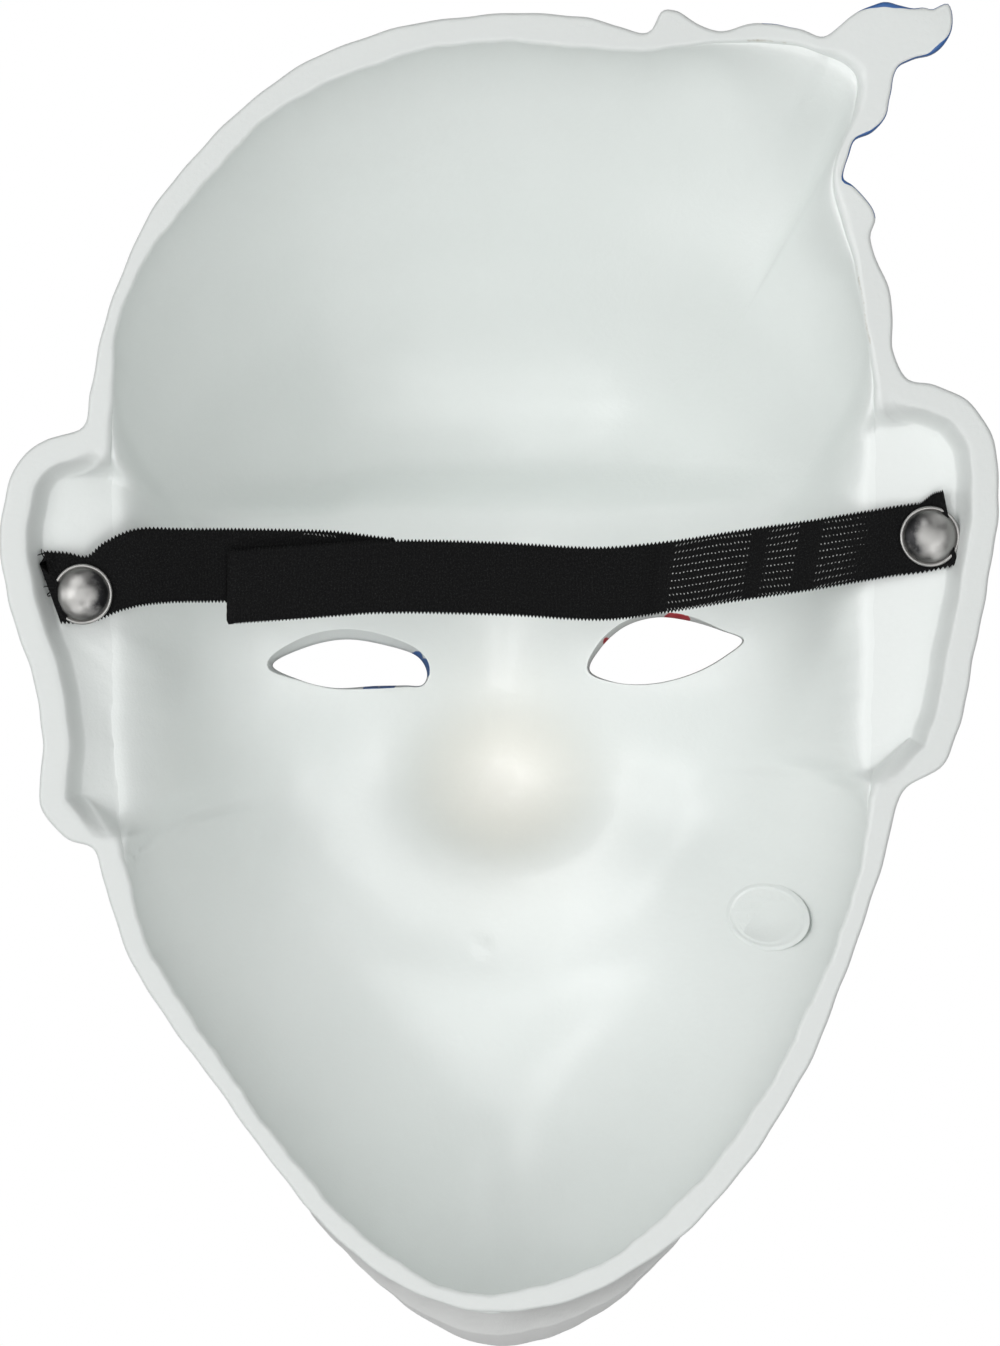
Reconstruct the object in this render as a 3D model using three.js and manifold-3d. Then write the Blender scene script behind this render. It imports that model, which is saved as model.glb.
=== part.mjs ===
import * as THREE from "three";
import { mergeVertices } from "three/addons/utils/BufferGeometryUtils.js";
import Module from "manifold-3d";

// Foam clown mask, lying face down on its nose and forehead with the hollow up.
// X runs across the face, Y towards the top of the head and Z up. Sizes are in millimetres.

// Driving dimensions
const RIM_HEIGHT = 92; // height of the flat rim above the surface the mask lies on
const FOAM_WALL = 4; // thickness of the moulded foam
const CENTRE = { x: 0, y: -20 }; // middle of the face, where the surface grid is finest
const GRID_CELLS = 38; // cells across the face grid, an even number
const COLUMNS = 4 * GRID_CELLS; // points round the rim
const BOWL_FULLNESS = 2.3; // how flat the bottom of the bowl is
const BOWL_EDGE = 0.52; // how steep the bowl is at the rim
const EAR_BOWL_EDGE = 0.75; // the same beside the ears, where the bowl runs out more gently
const CENTRE_WEIGHT = 2.4; // how much closer the rings are at the middle of the face
const MEAN_RADIUS = 100; // of the head wall, for spacing the rings
const WALL_SHARE = 0.82; // share of the way out where the bowl starts to follow the head wall

// Rim, ears and hair tuft
const RIM_EDGE_ROUND = 1; // width of the worn edge inside the rim
const RIM_LIP = 3.5; // height of the flat outer side of the rim
const LIP_ROUND = 0.6; // how much the underside of the lip curves
const WALL_IN_PLAN = 3.6; // foam between the inner and outer bowl at the rim, level
const WALL_IN_GAP = 0.94; // never more than this share of the rim's own width
const EAR_DEPTH = 6; // depth of the dish in each ear below the rim
const EAR_RIM = 5.8; // width of the flat rim round each ear
const EAR_SLOPE = 0.8; // width of the slope from an ear's rim down to its dish
const EAR_FOLD = 3; // how far the rolled edge of the ear stands out in front
const EAR_FOLD_INSET = 2.4; // distance of that edge inside the ear's outline
const EAR_REACH = 8; // an ear begins where the rim is this far from the head wall
const EAR_BLEND = 5; // and is full after this much more
const EAR_TOP = 70; // nothing above this height is an ear
const EAR_SMOOTHING = 0.06; // share of the columns over which the bowl's steepness changes
const ANGLE_SMOOTHING = 0.02; // the same for the columns' angles

// Locks of hair in front, at the top of the head and the wearer's right temple
const HAIR_LOCKS = 9;
const HAIR_RISE = 2.6;
const HAIR_FROM = 22; // degrees from the X direction, about the centre
const HAIR_TO = 112;
const HAIR_SHARE = 0.66; // share of the way to the rim where the locks begin
const HAIR_FADE = 0.14;
const HAIR_SLANT = 2; // how far the locks lean over on their way to the rim, in radians
const HAIR_END = 0.125; // share of the stretch over which the locks fade at its ends

// Face
const FACE_DEPTH = 67; // from the rim plane to the front of the plain face
const BROW_STEP = 11; // how far the forehead stands out over the eyes
const BROW_LINE = 37; // height of the middle of that step
const BROW_SLOPE = 8; // half the height of the step
const BROW_HALF_WIDTH = 70;
const INSET_CHANGE = 0.7; // narrowing of a swelling for each millimetre inside the skin
const LIP_RISE = 8; // in front, and less by the foam's thickness inside
const LIP_HALF_HEIGHT = 7.5;
const SMILE_HALF_WIDTH = 36;
const SMILE_CURVE = 0.0125; // how fast the smile turns up, per millimetre squared
const UPPER_LIP_LINE = -58;
const LOWER_LIP_LINE = -77;
const CHIN_OVERHANG = 18; // how far the chin stands out beyond the rim
const CHIN_OVERHANG_DEPTH = 36; // depth below the rim where it stands out most
const CHIN_OVERHANG_HEIGHT = 27;
const CHIN_OVERHANG_WIDTH = 36;
const CHIN_OVERHANG_START = -60;
const CHIN_OVERHANG_FULL = -112;

// Swellings and hollows of the face: place, half widths, rise, and a power that squares off the top
const FEATURES = [
  { name: "forehead", x: 0, y: 66, wide: 68, tall: 42, rise: 25, power: 1 },
  { name: "left brow boss", x: -29, y: 56, wide: 18, tall: 17, rise: 7.5, power: 1 },
  { name: "right brow boss", x: 29, y: 56, wide: 18, tall: 17, rise: 7.5, power: 1 },
  { name: "eye socket", x: 33, y: 5, wide: 20, tall: 14, rise: -8, power: 1.3, paired: true },
  { name: "nose bridge", x: 0, y: 2, wide: 9, tall: 22, rise: 8, power: 1 },
  { name: "nose ball", x: 0, y: -26, wide: 18, tall: 18, rise: 24, power: 1.6 },
  { name: "cheek", x: 43, y: -34, wide: 22, tall: 18, rise: 8, power: 1, paired: true },
  { name: "chin", x: 0, y: -98, wide: 24, tall: 15, rise: 10, power: 1 },
  { name: "hair lock", x: 50, y: 104, wide: 27, tall: 16, rise: 9, power: 1.2 },
];

const TUFT = "hair tuft";

// Outer edge of the rim, counter-clockwise seen from above, and how closely each stretch is followed
const RIM_STRETCHES = [
  {
    name: "right jaw",
    density: 0.9,
    points: [[0, -127.8], [12.8, -126], [31.8, -116.4], [45.4, -103.4], [61.8, -78.4],
      [69.8, -58.4], [76.4, -38.4], [79.4, -27]],
  },
  {
    name: "right ear",
    density: 1.1,
    points: [[81.6, -22.8], [88.4, -18.8], [91.6, -12], [94.4, 1.6], [98.4, 21.6], [99.8, 34],
      [98.6, 46.6], [93.6, 54.6], [87, 57.6], [81.6, 59]],
  },
  {
    name: "hair at the temple",
    density: 1.1,
    points: [[78.8, 64.4], [78, 76], [74, 87]],
  },
  {
    name: TUFT,
    density: 1.5,
    points: [[75.2, 91], [73.4, 95], [68.9, 98.6], [69.2, 102.5], [71, 106.6], [76, 109.8],
      [78.2, 115.4], [80, 121.6], [86, 123.6], [90, 128.4], [90.4, 133], [88.6, 133.6],
      [86.4, 132], [82.8, 132.8], [77, 134.4], [70.2, 131.4], [64.8, 127.4], [59, 129]],
  },
  {
    name: "hair at the top",
    density: 1.3,
    points: [[52, 130.2], [43.4, 128.6], [35.2, 132.4], [32.6, 132.5], [29.8, 128.3]],
  },
  {
    name: "skull",
    density: 0.9,
    points: [[16, 131.5], [-2.8, 131.8], [-25.8, 127.6], [-43.4, 119.6], [-60, 104.6],
      [-71.4, 89.6], [-79.6, 68.6], [-81.8, 56.6]],
  },
  {
    name: "left ear",
    density: 1.1,
    points: [[-83.4, 49.2], [-91.2, 46.6], [-97.2, 41], [-100, 29], [-98.8, 16.6], [-93, -3.4],
      [-91.6, -13.4], [-91.6, -27], [-86.6, -33.2], [-81.2, -35.4]],
  },
  {
    name: "left jaw",
    density: 0.9,
    points: [[-79.4, -42], [-73.4, -58.4], [-60, -78.4], [-37.2, -108.4], [-24, -120.2],
      [-9.4, -127]],
  },
];

// Plain oval of the bowl, counter-clockwise
const BOWL_OVAL = [[0, -124], [36, -105.5], [61, -67], [74, -20], [76, 30], [71.5, 76],
  [50, 112], [0, 126.2], [-46, 111.5], [-72, 78], [-77, 34], [-75.5, -20], [-64, -65],
  [-37, -103]];

// Head wall, where the bowl meets the rim and the ears, counter-clockwise. It leaves the oval
// only near the rim, at the hair.
const HEAD_WALL = [[0, -124], [20, -118], [36, -105.5], [51, -87], [62, -66], [70, -46],
  [74, -25], [75, 0], [75.5, 25], [75.5, 48], [73.5, 66], [70.5, 84], [66.5, 100],
  [70.5, 112], [71, 120], [63, 124.5], [48, 126.4], [27, 124.2], [0, 126.2], [-20, 123.2],
  [-42.6, 113.6], [-59.2, 97.6], [-70, 83.6], [-76.4, 69], [-77, 50], [-75.5, 30],
  [-75, 5], [-75, -20], [-74.5, -38], [-70, -55], [-60, -71], [-45.2, -92.2],
  [-29.8, -110], [-13, -122]];

// Eye holes, seen from above
const EYE_HOLES = [
  [[-47.5, 1.6], [-41, 5.2], [-32.5, 7], [-24, 5.8], [-17.2, 3.2], [-15.4, -0.8],
    [-17.2, -2.6], [-26, -2.7], [-35, -3.1], [-42, -1.4]],
  [[50.5, 6.8], [46, 8.9], [39, 11], [32.5, 11.6], [26, 9.6], [21, 5], [18.9, 0.6],
    [24, -1.9], [32, -2.2], [40.5, 0], [47, 3.6]],
];
const EYE_POINTS = 28; // points round each eye hole

// Elastic strap, folded in three beside the left ear
const STRAP_WIDTH = 14.6;
const STRAP_THICKNESS = 1.1;
const STRAP_STEPS = 62;
const FIT_GAP = 0.3; // between pieces that touch

// Rivets
const CAP_RADIUS = 6.1;
const CAP_HEIGHT = 2.6;
const CAP_BEAD = 0.35; // radius of the rolled edge of the cap
const POST_RADIUS = 1.6;
const POST_HEAD_RADIUS = 3.8;
const POST_HEAD_HEIGHT = 1.4;
const RIVET_SIDES = 16;
const RIVETS = {
  left: { x: -83.8, y: 15.8 },
  right: { x: 86.3, y: 27.4 },
};

const EAR_FLOOR = RIM_HEIGHT - EAR_DEPTH;
const STRAP_SEAT = EAR_FLOOR + FIT_GAP + STRAP_THICKNESS / 2; // middle of the strap at a rivet
const FOLD_STEP = STRAP_THICKNESS + 0.5; // height from one folded layer to the next
const FOLD_HEIGHT = RIM_HEIGHT - 12; // middle of the lowest layer at the folds

// Middle line of the strap: x, y, z and the turn of its width from straight up the face, in degrees
const STRAP_ROUTE = [
  [-89.6, 17.2, STRAP_SEAT, 12],
  [RIVETS.left.x, RIVETS.left.y + 1.6, STRAP_SEAT, 14],
  [-78, 19.6, STRAP_SEAT, 14],
  [-73, 20.8, STRAP_SEAT - 0.1, 11],
  [-67, 21.5, STRAP_SEAT - 1.6, 6],
  [-59, 21.7, STRAP_SEAT - 4, 2],
  [-48, 21.7, FOLD_HEIGHT + 0.6, 0],
  [-34, 21.3, FOLD_HEIGHT, -3],
  [-25, 20.2, FOLD_HEIGHT, -5],
  [-22.8, 19.9, FOLD_HEIGHT + 0.1, -5],
  [-22.1, 19.8, FOLD_HEIGHT + FOLD_STEP / 2, -4],
  [-22.8, 19.7, FOLD_HEIGHT + FOLD_STEP - 0.1, -3],
  [-25, 19.5, FOLD_HEIGHT + FOLD_STEP, -3],
  [-38, 18.4, FOLD_HEIGHT + FOLD_STEP, -3],
  [-51.6, 17.5, FOLD_HEIGHT + FOLD_STEP + 0.6, -1],
  [-53.8, 17.4, FOLD_HEIGHT + FOLD_STEP + 0.7, -1],
  [-54.5, 17.4, FOLD_HEIGHT + 1.5 * FOLD_STEP + 0.6, -1],
  [-53.8, 17.4, FOLD_HEIGHT + 2 * FOLD_STEP + 0.5, -1],
  [-51.6, 17.6, FOLD_HEIGHT + 2 * FOLD_STEP + 0.5, -2],
  [-40, 18.5, FOLD_HEIGHT + 2 * FOLD_STEP + 0.2, -3],
  [-22, 19.4, FOLD_HEIGHT + 2 * FOLD_STEP, -1],
  [0, 19, RIM_HEIGHT - 9.5, 3],
  [21, 18, RIM_HEIGHT - 9.5, 2],
  [34, 19.4, RIM_HEIGHT - 9, -8],
  [48, 21.6, RIM_HEIGHT - 8, -9],
  [62, 23.6, RIM_HEIGHT - 6.6, -10],
  [74, 25.6, STRAP_SEAT + 0.3, -11],
  [80, 26.6, STRAP_SEAT, -12],
  [RIVETS.right.x, RIVETS.right.y, STRAP_SEAT, -12],
  [91.2, 28.4, STRAP_SEAT, -12],
];

const wasm = await Module();
wasm.setup();

// Solid of a closed geometry, with its shared vertices merged.
function solidOf(geometry) {
  const bare = geometry.clone();
  bare.deleteAttribute("normal");
  bare.deleteAttribute("uv");
  const merged = mergeVertices(bare, 1e-3);
  const vertProperties = new Float32Array(merged.attributes.position.array);
  const triVerts = new Uint32Array(merged.index.array);
  return new wasm.Manifold(new wasm.Mesh({ numProp: 3, vertProperties, triVerts }));
}

// Geometry of a solid, ready for drawing.
function geometryOf(solid) {
  const mesh = solid.getMesh();
  const geometry = new THREE.BufferGeometry();
  geometry.setAttribute("position", new THREE.BufferAttribute(mesh.vertProperties, 3));
  geometry.setIndex(new THREE.BufferAttribute(mesh.triVerts, 1));
  geometry.computeVertexNormals();
  return geometry;
}

function smoothstep(value) {
  const t = THREE.MathUtils.clamp(value, 0, 1);
  return t * t * (3 - 2 * t);
}

function bell(value) {
  return Math.exp(-value * value);
}

function closedCurve(points) {
  const knots = points.map(([x, y]) => new THREE.Vector3(x, y, 0));
  return new THREE.CatmullRomCurve3(knots, true, "centripetal");
}

// Points round the outer edge of the rim, closer together where a stretch has a higher density.
function rimOutline() {
  const points = RIM_STRETCHES.flatMap((stretch) => stretch.points);
  const densities = RIM_STRETCHES.flatMap((stretch) => stretch.points.map(() => stretch.density));
  const curve = closedCurve(points);
  const steps = points.map(([x, y], i) => {
    const [nextX, nextY] = points[(i + 1) % points.length];
    return densities[i] * Math.hypot(nextX - x, nextY - y);
  });
  const total = steps.reduce((sum, step) => sum + step, 0);
  const names = RIM_STRETCHES.flatMap((stretch) => stretch.points.map(() => stretch.name));
  const outline = [];
  let segment = 0;
  let start = 0;
  for (let column = 0; column < COLUMNS; column++) {
    const target = (total * column) / COLUMNS;
    while (start + steps[segment] < target) {
      start += steps[segment];
      segment += 1;
    }
    const within = (target - start) / steps[segment];
    const point = curve.getPoint((segment + within) / points.length);
    point.inTuft = names[segment] === TUFT;
    outline.push(point);
  }
  return outline;
}

// Angle of each column about the centre: the outline's own angle, never turning back. The tuft's
// columns share out the angle at its root evenly.
function columnAngles(outline) {
  const turn = 2 * Math.PI;
  const angles = outline.map((p) => Math.atan2(p.y - CENTRE.y, p.x - CENTRE.x));
  for (let j = 1; j < COLUMNS; j++) {
    while (angles[j] < angles[j - 1] - Math.PI) angles[j] += turn;
  }
  const root = outline.findIndex((p) => p.inTuft);
  const end = outline.findLastIndex((p) => p.inTuft);
  for (let j = root; j <= end; j++) {
    angles[j] = THREE.MathUtils.mapLinear(j, root, end, angles[root], angles[end]);
  }
  const rising = angles.slice();
  for (let j = 1; j < COLUMNS; j++) rising[j] = Math.max(rising[j], rising[j - 1]);
  const falling = angles.slice();
  for (let j = COLUMNS - 2; j >= 0; j--) falling[j] = Math.min(falling[j], falling[j + 1]);
  const drift = angles.map((_, j) => (rising[j] + falling[j]) / 2 - (turn * j) / COLUMNS);
  const even = smoothed(drift, Math.round(COLUMNS * ANGLE_SMOOTHING));
  return even.map((value, j) => value + (turn * j) / COLUMNS);
}

// Point of a closed line round the centre on the ray at each angle.
function pointsAt(line, angles) {
  const curve = closedCurve(line);
  const samples = 1440;
  const table = [];
  for (let i = 0; i <= samples; i++) {
    const p = curve.getPoint((i % samples) / samples);
    const radius = Math.hypot(p.x - CENTRE.x, p.y - CENTRE.y);
    let angle = Math.atan2(p.y - CENTRE.y, p.x - CENTRE.x);
    while (i > 0 && angle < table[i - 1].angle) angle += 2 * Math.PI;
    table.push({ angle, radius });
  }
  const first = table[0].angle;
  return angles.map((angle) => {
    const wanted = first + THREE.MathUtils.euclideanModulo(angle - first, 2 * Math.PI);
    const after = Math.max(1, table.findIndex((row) => row.angle >= wanted));
    const a = table[after - 1];
    const b = table[after];
    const radius = THREE.MathUtils.mapLinear(wanted, a.angle, b.angle, a.radius, b.radius);
    return new THREE.Vector3(
      CENTRE.x + radius * Math.cos(angle),
      CENTRE.y + radius * Math.sin(angle),
      0,
    );
  });
}

// Mean of a list of numbers round the rim over a reach to each side.
function smoothed(values, reach) {
  return values.map((_, j) => {
    let sum = 0;
    for (let k = j - reach; k <= j + reach; k++) sum += values[(k + COLUMNS) % COLUMNS];
    return sum / (2 * reach + 1);
  });
}

// Outward direction, in plan, of a closed line of points at one of them.
function outwardAt(points, j) {
  const count = points.length;
  const before = points[(j + count - 1) % count];
  const after = points[(j + 1) % count];
  return new THREE.Vector3(after.y - before.y, before.x - after.x, 0).normalize();
}

// The rings of points between the inner bowl and the outer one, over the rim and the ears.
function rimColumns() {
  const outline = rimOutline();
  const angles = columnAngles(outline);
  const wall = pointsAt(HEAD_WALL, angles);
  const oval = pointsAt(BOWL_OVAL, angles);
  const ears = outline.map((edge, j) => {
    const reach = edge.distanceTo(wall[j]);
    return edge.y < EAR_TOP ? smoothstep((reach - EAR_REACH) / EAR_BLEND) : 0;
  });
  const gentle = smoothed(ears, Math.round(COLUMNS * EAR_SMOOTHING));
  return outline.map((edge, j) => {
    const a = wall[j];
    const ear = ears[j];
    const outward = outwardAt(oval, j);
    const edgeOutward = outwardAt(outline, j);
    const gap = Math.max(edge.clone().sub(a).dot(outward), 1);
    const at = (origin, direction, distance, depth) =>
      origin.clone().addScaledVector(direction, distance).setZ(RIM_HEIGHT - depth);
    const mix = (plain, full) => plain.clone().lerp(full, ear);
    const worn = 0.4 * RIM_EDGE_ROUND;
    const earBack = EAR_DEPTH + FOAM_WALL;
    const inside = THREE.MathUtils.lerp(RIM_EDGE_ROUND, EAR_DEPTH, ear);
    const underside = THREE.MathUtils.lerp(RIM_LIP + RIM_EDGE_ROUND, earBack, ear);
    const outer = at(a, outward, Math.min(WALL_IN_PLAN, WALL_IN_GAP * gap), underside);
    const rings = [
      at(a, outward, 0, inside),
      mix(at(a, outward, worn, worn), at(edge, edgeOutward, -EAR_RIM - EAR_SLOPE, EAR_DEPTH)),
      mix(at(a, outward, RIM_EDGE_ROUND, 0), at(edge, edgeOutward, -EAR_RIM, 0)),
      at(edge, edgeOutward, 0, 0),
      mix(
        at(edge, edgeOutward, 0, RIM_LIP - LIP_ROUND),
        at(edge, edgeOutward, 0, earBack - EAR_FOLD),
      ),
      mix(
        outer.clone().lerp(at(edge, edgeOutward, 0, RIM_LIP), 0.9),
        at(edge, edgeOutward, -EAR_FOLD_INSET, earBack + EAR_FOLD),
      ),
      mix(
        outer.clone().lerp(at(edge, edgeOutward, 0, RIM_LIP + LIP_ROUND), 0.5),
        at(edge, edgeOutward, -EAR_RIM, earBack),
      ),
      outer,
    ];
    const inner = { oval: oval[j], edge: rings[0] };
    const front = { oval: oval[j].clone().add(outer).sub(a), edge: outer };
    return { gentle: gentle[j], rings, inner, front };
  });
}

// Depth of the face below the rim plane, without the bowl. inset is how far the surface lies
// inside the outer skin: swellings are narrower and hollows wider there.
function faceDepth(x, y, inset) {
  let depth = FACE_DEPTH - inset;
  for (const feature of FEATURES) {
    const change = -INSET_CHANGE * inset * Math.sign(feature.rise);
    const sides = feature.paired ? [-1, 1] : [1];
    for (const side of sides) {
      const across = (x - side * feature.x) / (feature.wide + change);
      const up = (y - feature.y) / (feature.tall + change);
      depth += feature.rise * Math.exp(-Math.pow(across * across + up * up, feature.power));
    }
  }
  const brow = smoothstep((y - BROW_LINE + BROW_SLOPE) / (2 * BROW_SLOPE));
  depth += BROW_STEP * brow * Math.exp(-Math.pow(x / BROW_HALF_WIDTH, 4));
  for (const line of [UPPER_LIP_LINE, LOWER_LIP_LINE]) {
    const middle = line + SMILE_CURVE * x * x;
    const across = Math.exp(-Math.pow(x / SMILE_HALF_WIDTH, 6));
    depth += (LIP_RISE - inset) * across * bell((y - middle) / LIP_HALF_HEIGHT);
  }
  return depth;
}

// Share of the full depth at a share of the way from the centre to the wall.
function bowl(share, edge) {
  return Math.pow(Math.max(0, 1 - Math.pow(share, BOWL_FULLNESS)), edge);
}

// Share of the way to the wall of each ring, spaced evenly along the bowl's own section.
function ringShares() {
  const samples = 2000;
  const lengths = [0];
  for (let i = 1; i <= samples; i++) {
    const share = i / samples;
    const drop = FACE_DEPTH * (bowl(share, BOWL_EDGE) - bowl(share - 1 / samples, BOWL_EDGE));
    const weight = 1 + CENTRE_WEIGHT * (1 - share);
    lengths.push(lengths[i - 1] + weight * Math.hypot(MEAN_RADIUS / samples, drop));
  }
  const shares = [];
  const rings = GRID_CELLS / 2;
  for (let ring = 0; ring <= rings; ring++) {
    const wanted = (lengths[samples] * ring) / rings;
    const i = Math.max(1, lengths.findIndex((length) => length >= wanted));
    const within = (wanted - lengths[i - 1]) / (lengths[i] - lengths[i - 1]);
    shares.push((i - 1 + within) / samples);
  }
  return shares;
}

// Column number, not always whole, of a point of the square grid from -1 to 1.
function columnOf(a, b) {
  const eighth = COLUMNS / 8;
  if (a >= Math.abs(b)) return THREE.MathUtils.euclideanModulo(eighth * (b / a), COLUMNS);
  if (b >= Math.abs(a)) return 2 * eighth - eighth * (a / b);
  if (-a >= Math.abs(b)) return 4 * eighth + eighth * (b / a);
  return 6 * eighth - eighth * (a / b);
}

// Value of the columns between two of them.
function between(columns, column, pick) {
  const j = Math.floor(column);
  const first = pick(columns[j % COLUMNS]);
  const second = pick(columns[(j + 1) % COLUMNS]);
  const within = column - j;
  if (typeof first === "number") return THREE.MathUtils.lerp(first, second, within);
  return first.clone().lerp(second, within);
}

// The chin stands out beyond the rim: points part of the way down its wall move outwards.
function chinOverhang(point) {
  const depth = RIM_HEIGHT - point.z;
  const down = (CHIN_OVERHANG_START - point.y) / (CHIN_OVERHANG_START - CHIN_OVERHANG_FULL);
  const share = smoothstep(down) * bell(point.x / CHIN_OVERHANG_WIDTH);
  point.y -= CHIN_OVERHANG * share * bell((depth - CHIN_OVERHANG_DEPTH) / CHIN_OVERHANG_HEIGHT);
}

// Rise of the locks of hair, which run out to the rim, at an angle and a share of the way to it.
function hairRise(angle, share) {
  const along = (THREE.MathUtils.radToDeg(angle) - HAIR_FROM) / (HAIR_TO - HAIR_FROM);
  if (along <= 0 || along >= 1) return 0;
  const lock = Math.abs(Math.sin(Math.PI * HAIR_LOCKS * along + HAIR_SLANT * share));
  const ends = smoothstep(along / HAIR_END) * smoothstep((1 - along) / HAIR_END);
  return HAIR_RISE * lock * ends * smoothstep((share - HAIR_SHARE) / HAIR_FADE);
}

// One surface of the bowl on the square grid, inner or front, which lies inset inside the skin.
function bowlSurface(columns, side, inset) {
  const shares = ringShares();
  const half = GRID_CELLS / 2;
  const points = [];
  for (let i = 0; i <= GRID_CELLS; i++) {
    for (let k = 0; k <= GRID_CELLS; k++) {
      const a = i / half - 1;
      const b = k / half - 1;
      const ring = Math.round(half * Math.max(Math.abs(a), Math.abs(b)));
      const share = shares[ring];
      const column = ring === 0 ? 0 : columnOf(a, b);
      const edge = between(columns, column, (c) => c[side].edge);
      const oval = between(columns, column, (c) => c[side].oval);
      const gentle = between(columns, column, (c) => c.gentle);
      const settle = smoothstep((share - WALL_SHARE) / (1 - WALL_SHARE));
      const x = CENTRE.x + share * (oval.x - CENTRE.x) + settle * (edge.x - oval.x);
      const y = CENTRE.y + share * (oval.y - CENTRE.y) + settle * (edge.y - oval.y);
      const edgeDepth = RIM_HEIGHT - edge.z;
      const steepness = THREE.MathUtils.lerp(BOWL_EDGE, EAR_BOWL_EDGE, gentle);
      const angle = Math.atan2(y - CENTRE.y, x - CENTRE.x);
      const hair = side === "front" && ring < half ? hairRise(angle, share) : 0;
      const sunk = edgeDepth + bowl(share, steepness) * (faceDepth(x, y, inset) - edgeDepth);
      const depth = sunk + hair * (1 - share * share);
      const point = new THREE.Vector3(
        x + hair * share * share * Math.cos(angle),
        y + hair * share * share * Math.sin(angle),
        Math.max(0, RIM_HEIGHT - depth),
      );
      if (ring < half) chinOverhang(point);
      points.push(point);
    }
  }
  return points;
}

// Grid numbers of the boundary, in the order of the columns.
function boundaryOf() {
  const n = GRID_CELLS;
  const number = (i, k) => i * (n + 1) + k;
  const boundary = [];
  for (let k = n / 2; k < n; k++) boundary.push(number(n, k));
  for (let i = n; i > 0; i--) boundary.push(number(i, n));
  for (let k = n; k > 0; k--) boundary.push(number(0, k));
  for (let i = 0; i < n; i++) boundary.push(number(i, 0));
  for (let k = 0; k < n / 2; k++) boundary.push(number(n, k));
  return boundary;
}

// Closed skin of the foam: inner bowl, rim with ears and tuft, outer bowl.
function shellSkin() {
  const columns = rimColumns();
  const last = columns[0].rings.length - 1;
  const inner = bowlSurface(columns, "inner", FOAM_WALL);
  const outer = bowlSurface(columns, "front", 0);
  const boundary = boundaryOf();
  const vertices = [...inner, ...outer];
  const rows = [boundary];
  for (let ring = 1; ring < last; ring++) {
    rows.push(columns.map((column) => vertices.push(column.rings[ring]) - 1));
  }
  rows.push(boundary.map((number) => number + inner.length));
  const faces = [];
  const quad = (a, b, c, d) => faces.push(a, b, c, a, c, d);
  const half = GRID_CELLS / 2;
  for (let i = 0; i < GRID_CELLS; i++) {
    for (let k = 0; k < GRID_CELLS; k++) {
      const a = i * (GRID_CELLS + 1) + k;
      const b = a + GRID_CELLS + 1;
      // Each cell is split along the line that runs out from the centre.
      const corners = i < half === k < half ? [a, b, b + 1, a + 1] : [b, b + 1, a + 1, a];
      quad(...corners);
      const [p, q, r, s] = corners.map((number) => number + inner.length);
      quad(p, s, r, q);
    }
  }
  for (let r = 0; r < rows.length - 1; r++) {
    for (let j = 0; j < COLUMNS; j++) {
      const next = (j + 1) % COLUMNS;
      quad(rows[r][j], rows[r + 1][j], rows[r + 1][next], rows[r][next]);
    }
  }
  const geometry = new THREE.BufferGeometry().setFromPoints(vertices);
  geometry.setIndex(faces);
  return geometry;
}

// Upright prism with the outline of an eye hole.
function eyeCutter(points) {
  const outline = closedCurve(points).getPoints(EYE_POINTS).slice(0, EYE_POINTS);
  const shape = new THREE.Shape(outline.map((p) => new THREE.Vector2(p.x, p.y)));
  return new THREE.ExtrudeGeometry(shape, { depth: RIM_HEIGHT, bevelEnabled: false });
}

// Upright round bar at a rivet, for its hole.
function rivetHole(place) {
  const bar = new THREE.CylinderGeometry(
    POST_RADIUS + FIT_GAP,
    POST_RADIUS + FIT_GAP,
    3 * EAR_DEPTH,
    RIVET_SIDES / 2,
  );
  bar.rotateX(Math.PI / 2);
  bar.translate(place.x, place.y, EAR_FLOOR);
  return solidOf(bar);
}

function maskShell() {
  let shell = solidOf(shellSkin());
  for (const points of EYE_HOLES) shell = shell.subtract(solidOf(eyeCutter(points)));
  for (const place of Object.values(RIVETS)) shell = shell.subtract(rivetHole(place));
  return geometryOf(shell);
}

// Flat ribbon along the route, with a section across its width and thickness at each step.
function strapRibbon() {
  const line = new THREE.CatmullRomCurve3(
    STRAP_ROUTE.map(([x, y, z]) => new THREE.Vector3(x, y, z)),
    false,
    "centripetal",
  );
  const vertices = [];
  for (let step = 0; step <= STRAP_STEPS; step++) {
    const t = step / STRAP_STEPS;
    const knot = Math.min(Math.floor(t * (STRAP_ROUTE.length - 1)), STRAP_ROUTE.length - 2);
    const within = t * (STRAP_ROUTE.length - 1) - knot;
    const turn = THREE.MathUtils.lerp(STRAP_ROUTE[knot][3], STRAP_ROUTE[knot + 1][3], within);
    const turnRadians = THREE.MathUtils.degToRad(-turn);
    const across = new THREE.Vector3(Math.sin(turnRadians), Math.cos(turnRadians), 0);
    const middle = line.getPoint(t);
    const face = line.getTangent(t).cross(across).normalize();
    for (const [w, n] of [[1, 1], [-1, 1], [-1, -1], [1, -1]]) {
      const corner = middle.clone().addScaledVector(across, (w * STRAP_WIDTH) / 2);
      vertices.push(corner.addScaledVector(face, (n * STRAP_THICKNESS) / 2));
    }
  }
  const faces = [];
  const quad = (a, b, c, d) => faces.push(a, b, c, a, c, d);
  for (let step = 0; step < STRAP_STEPS; step++) {
    for (let side = 0; side < 4; side++) {
      const a = 4 * step + side;
      const b = 4 * step + ((side + 1) % 4);
      quad(a, b, b + 4, a + 4);
    }
  }
  const end = 4 * STRAP_STEPS;
  quad(0, 3, 2, 1);
  quad(end, end + 1, end + 2, end + 3);
  const geometry = new THREE.BufferGeometry().setFromPoints(vertices);
  geometry.setIndex(faces);
  return geometry;
}

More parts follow.
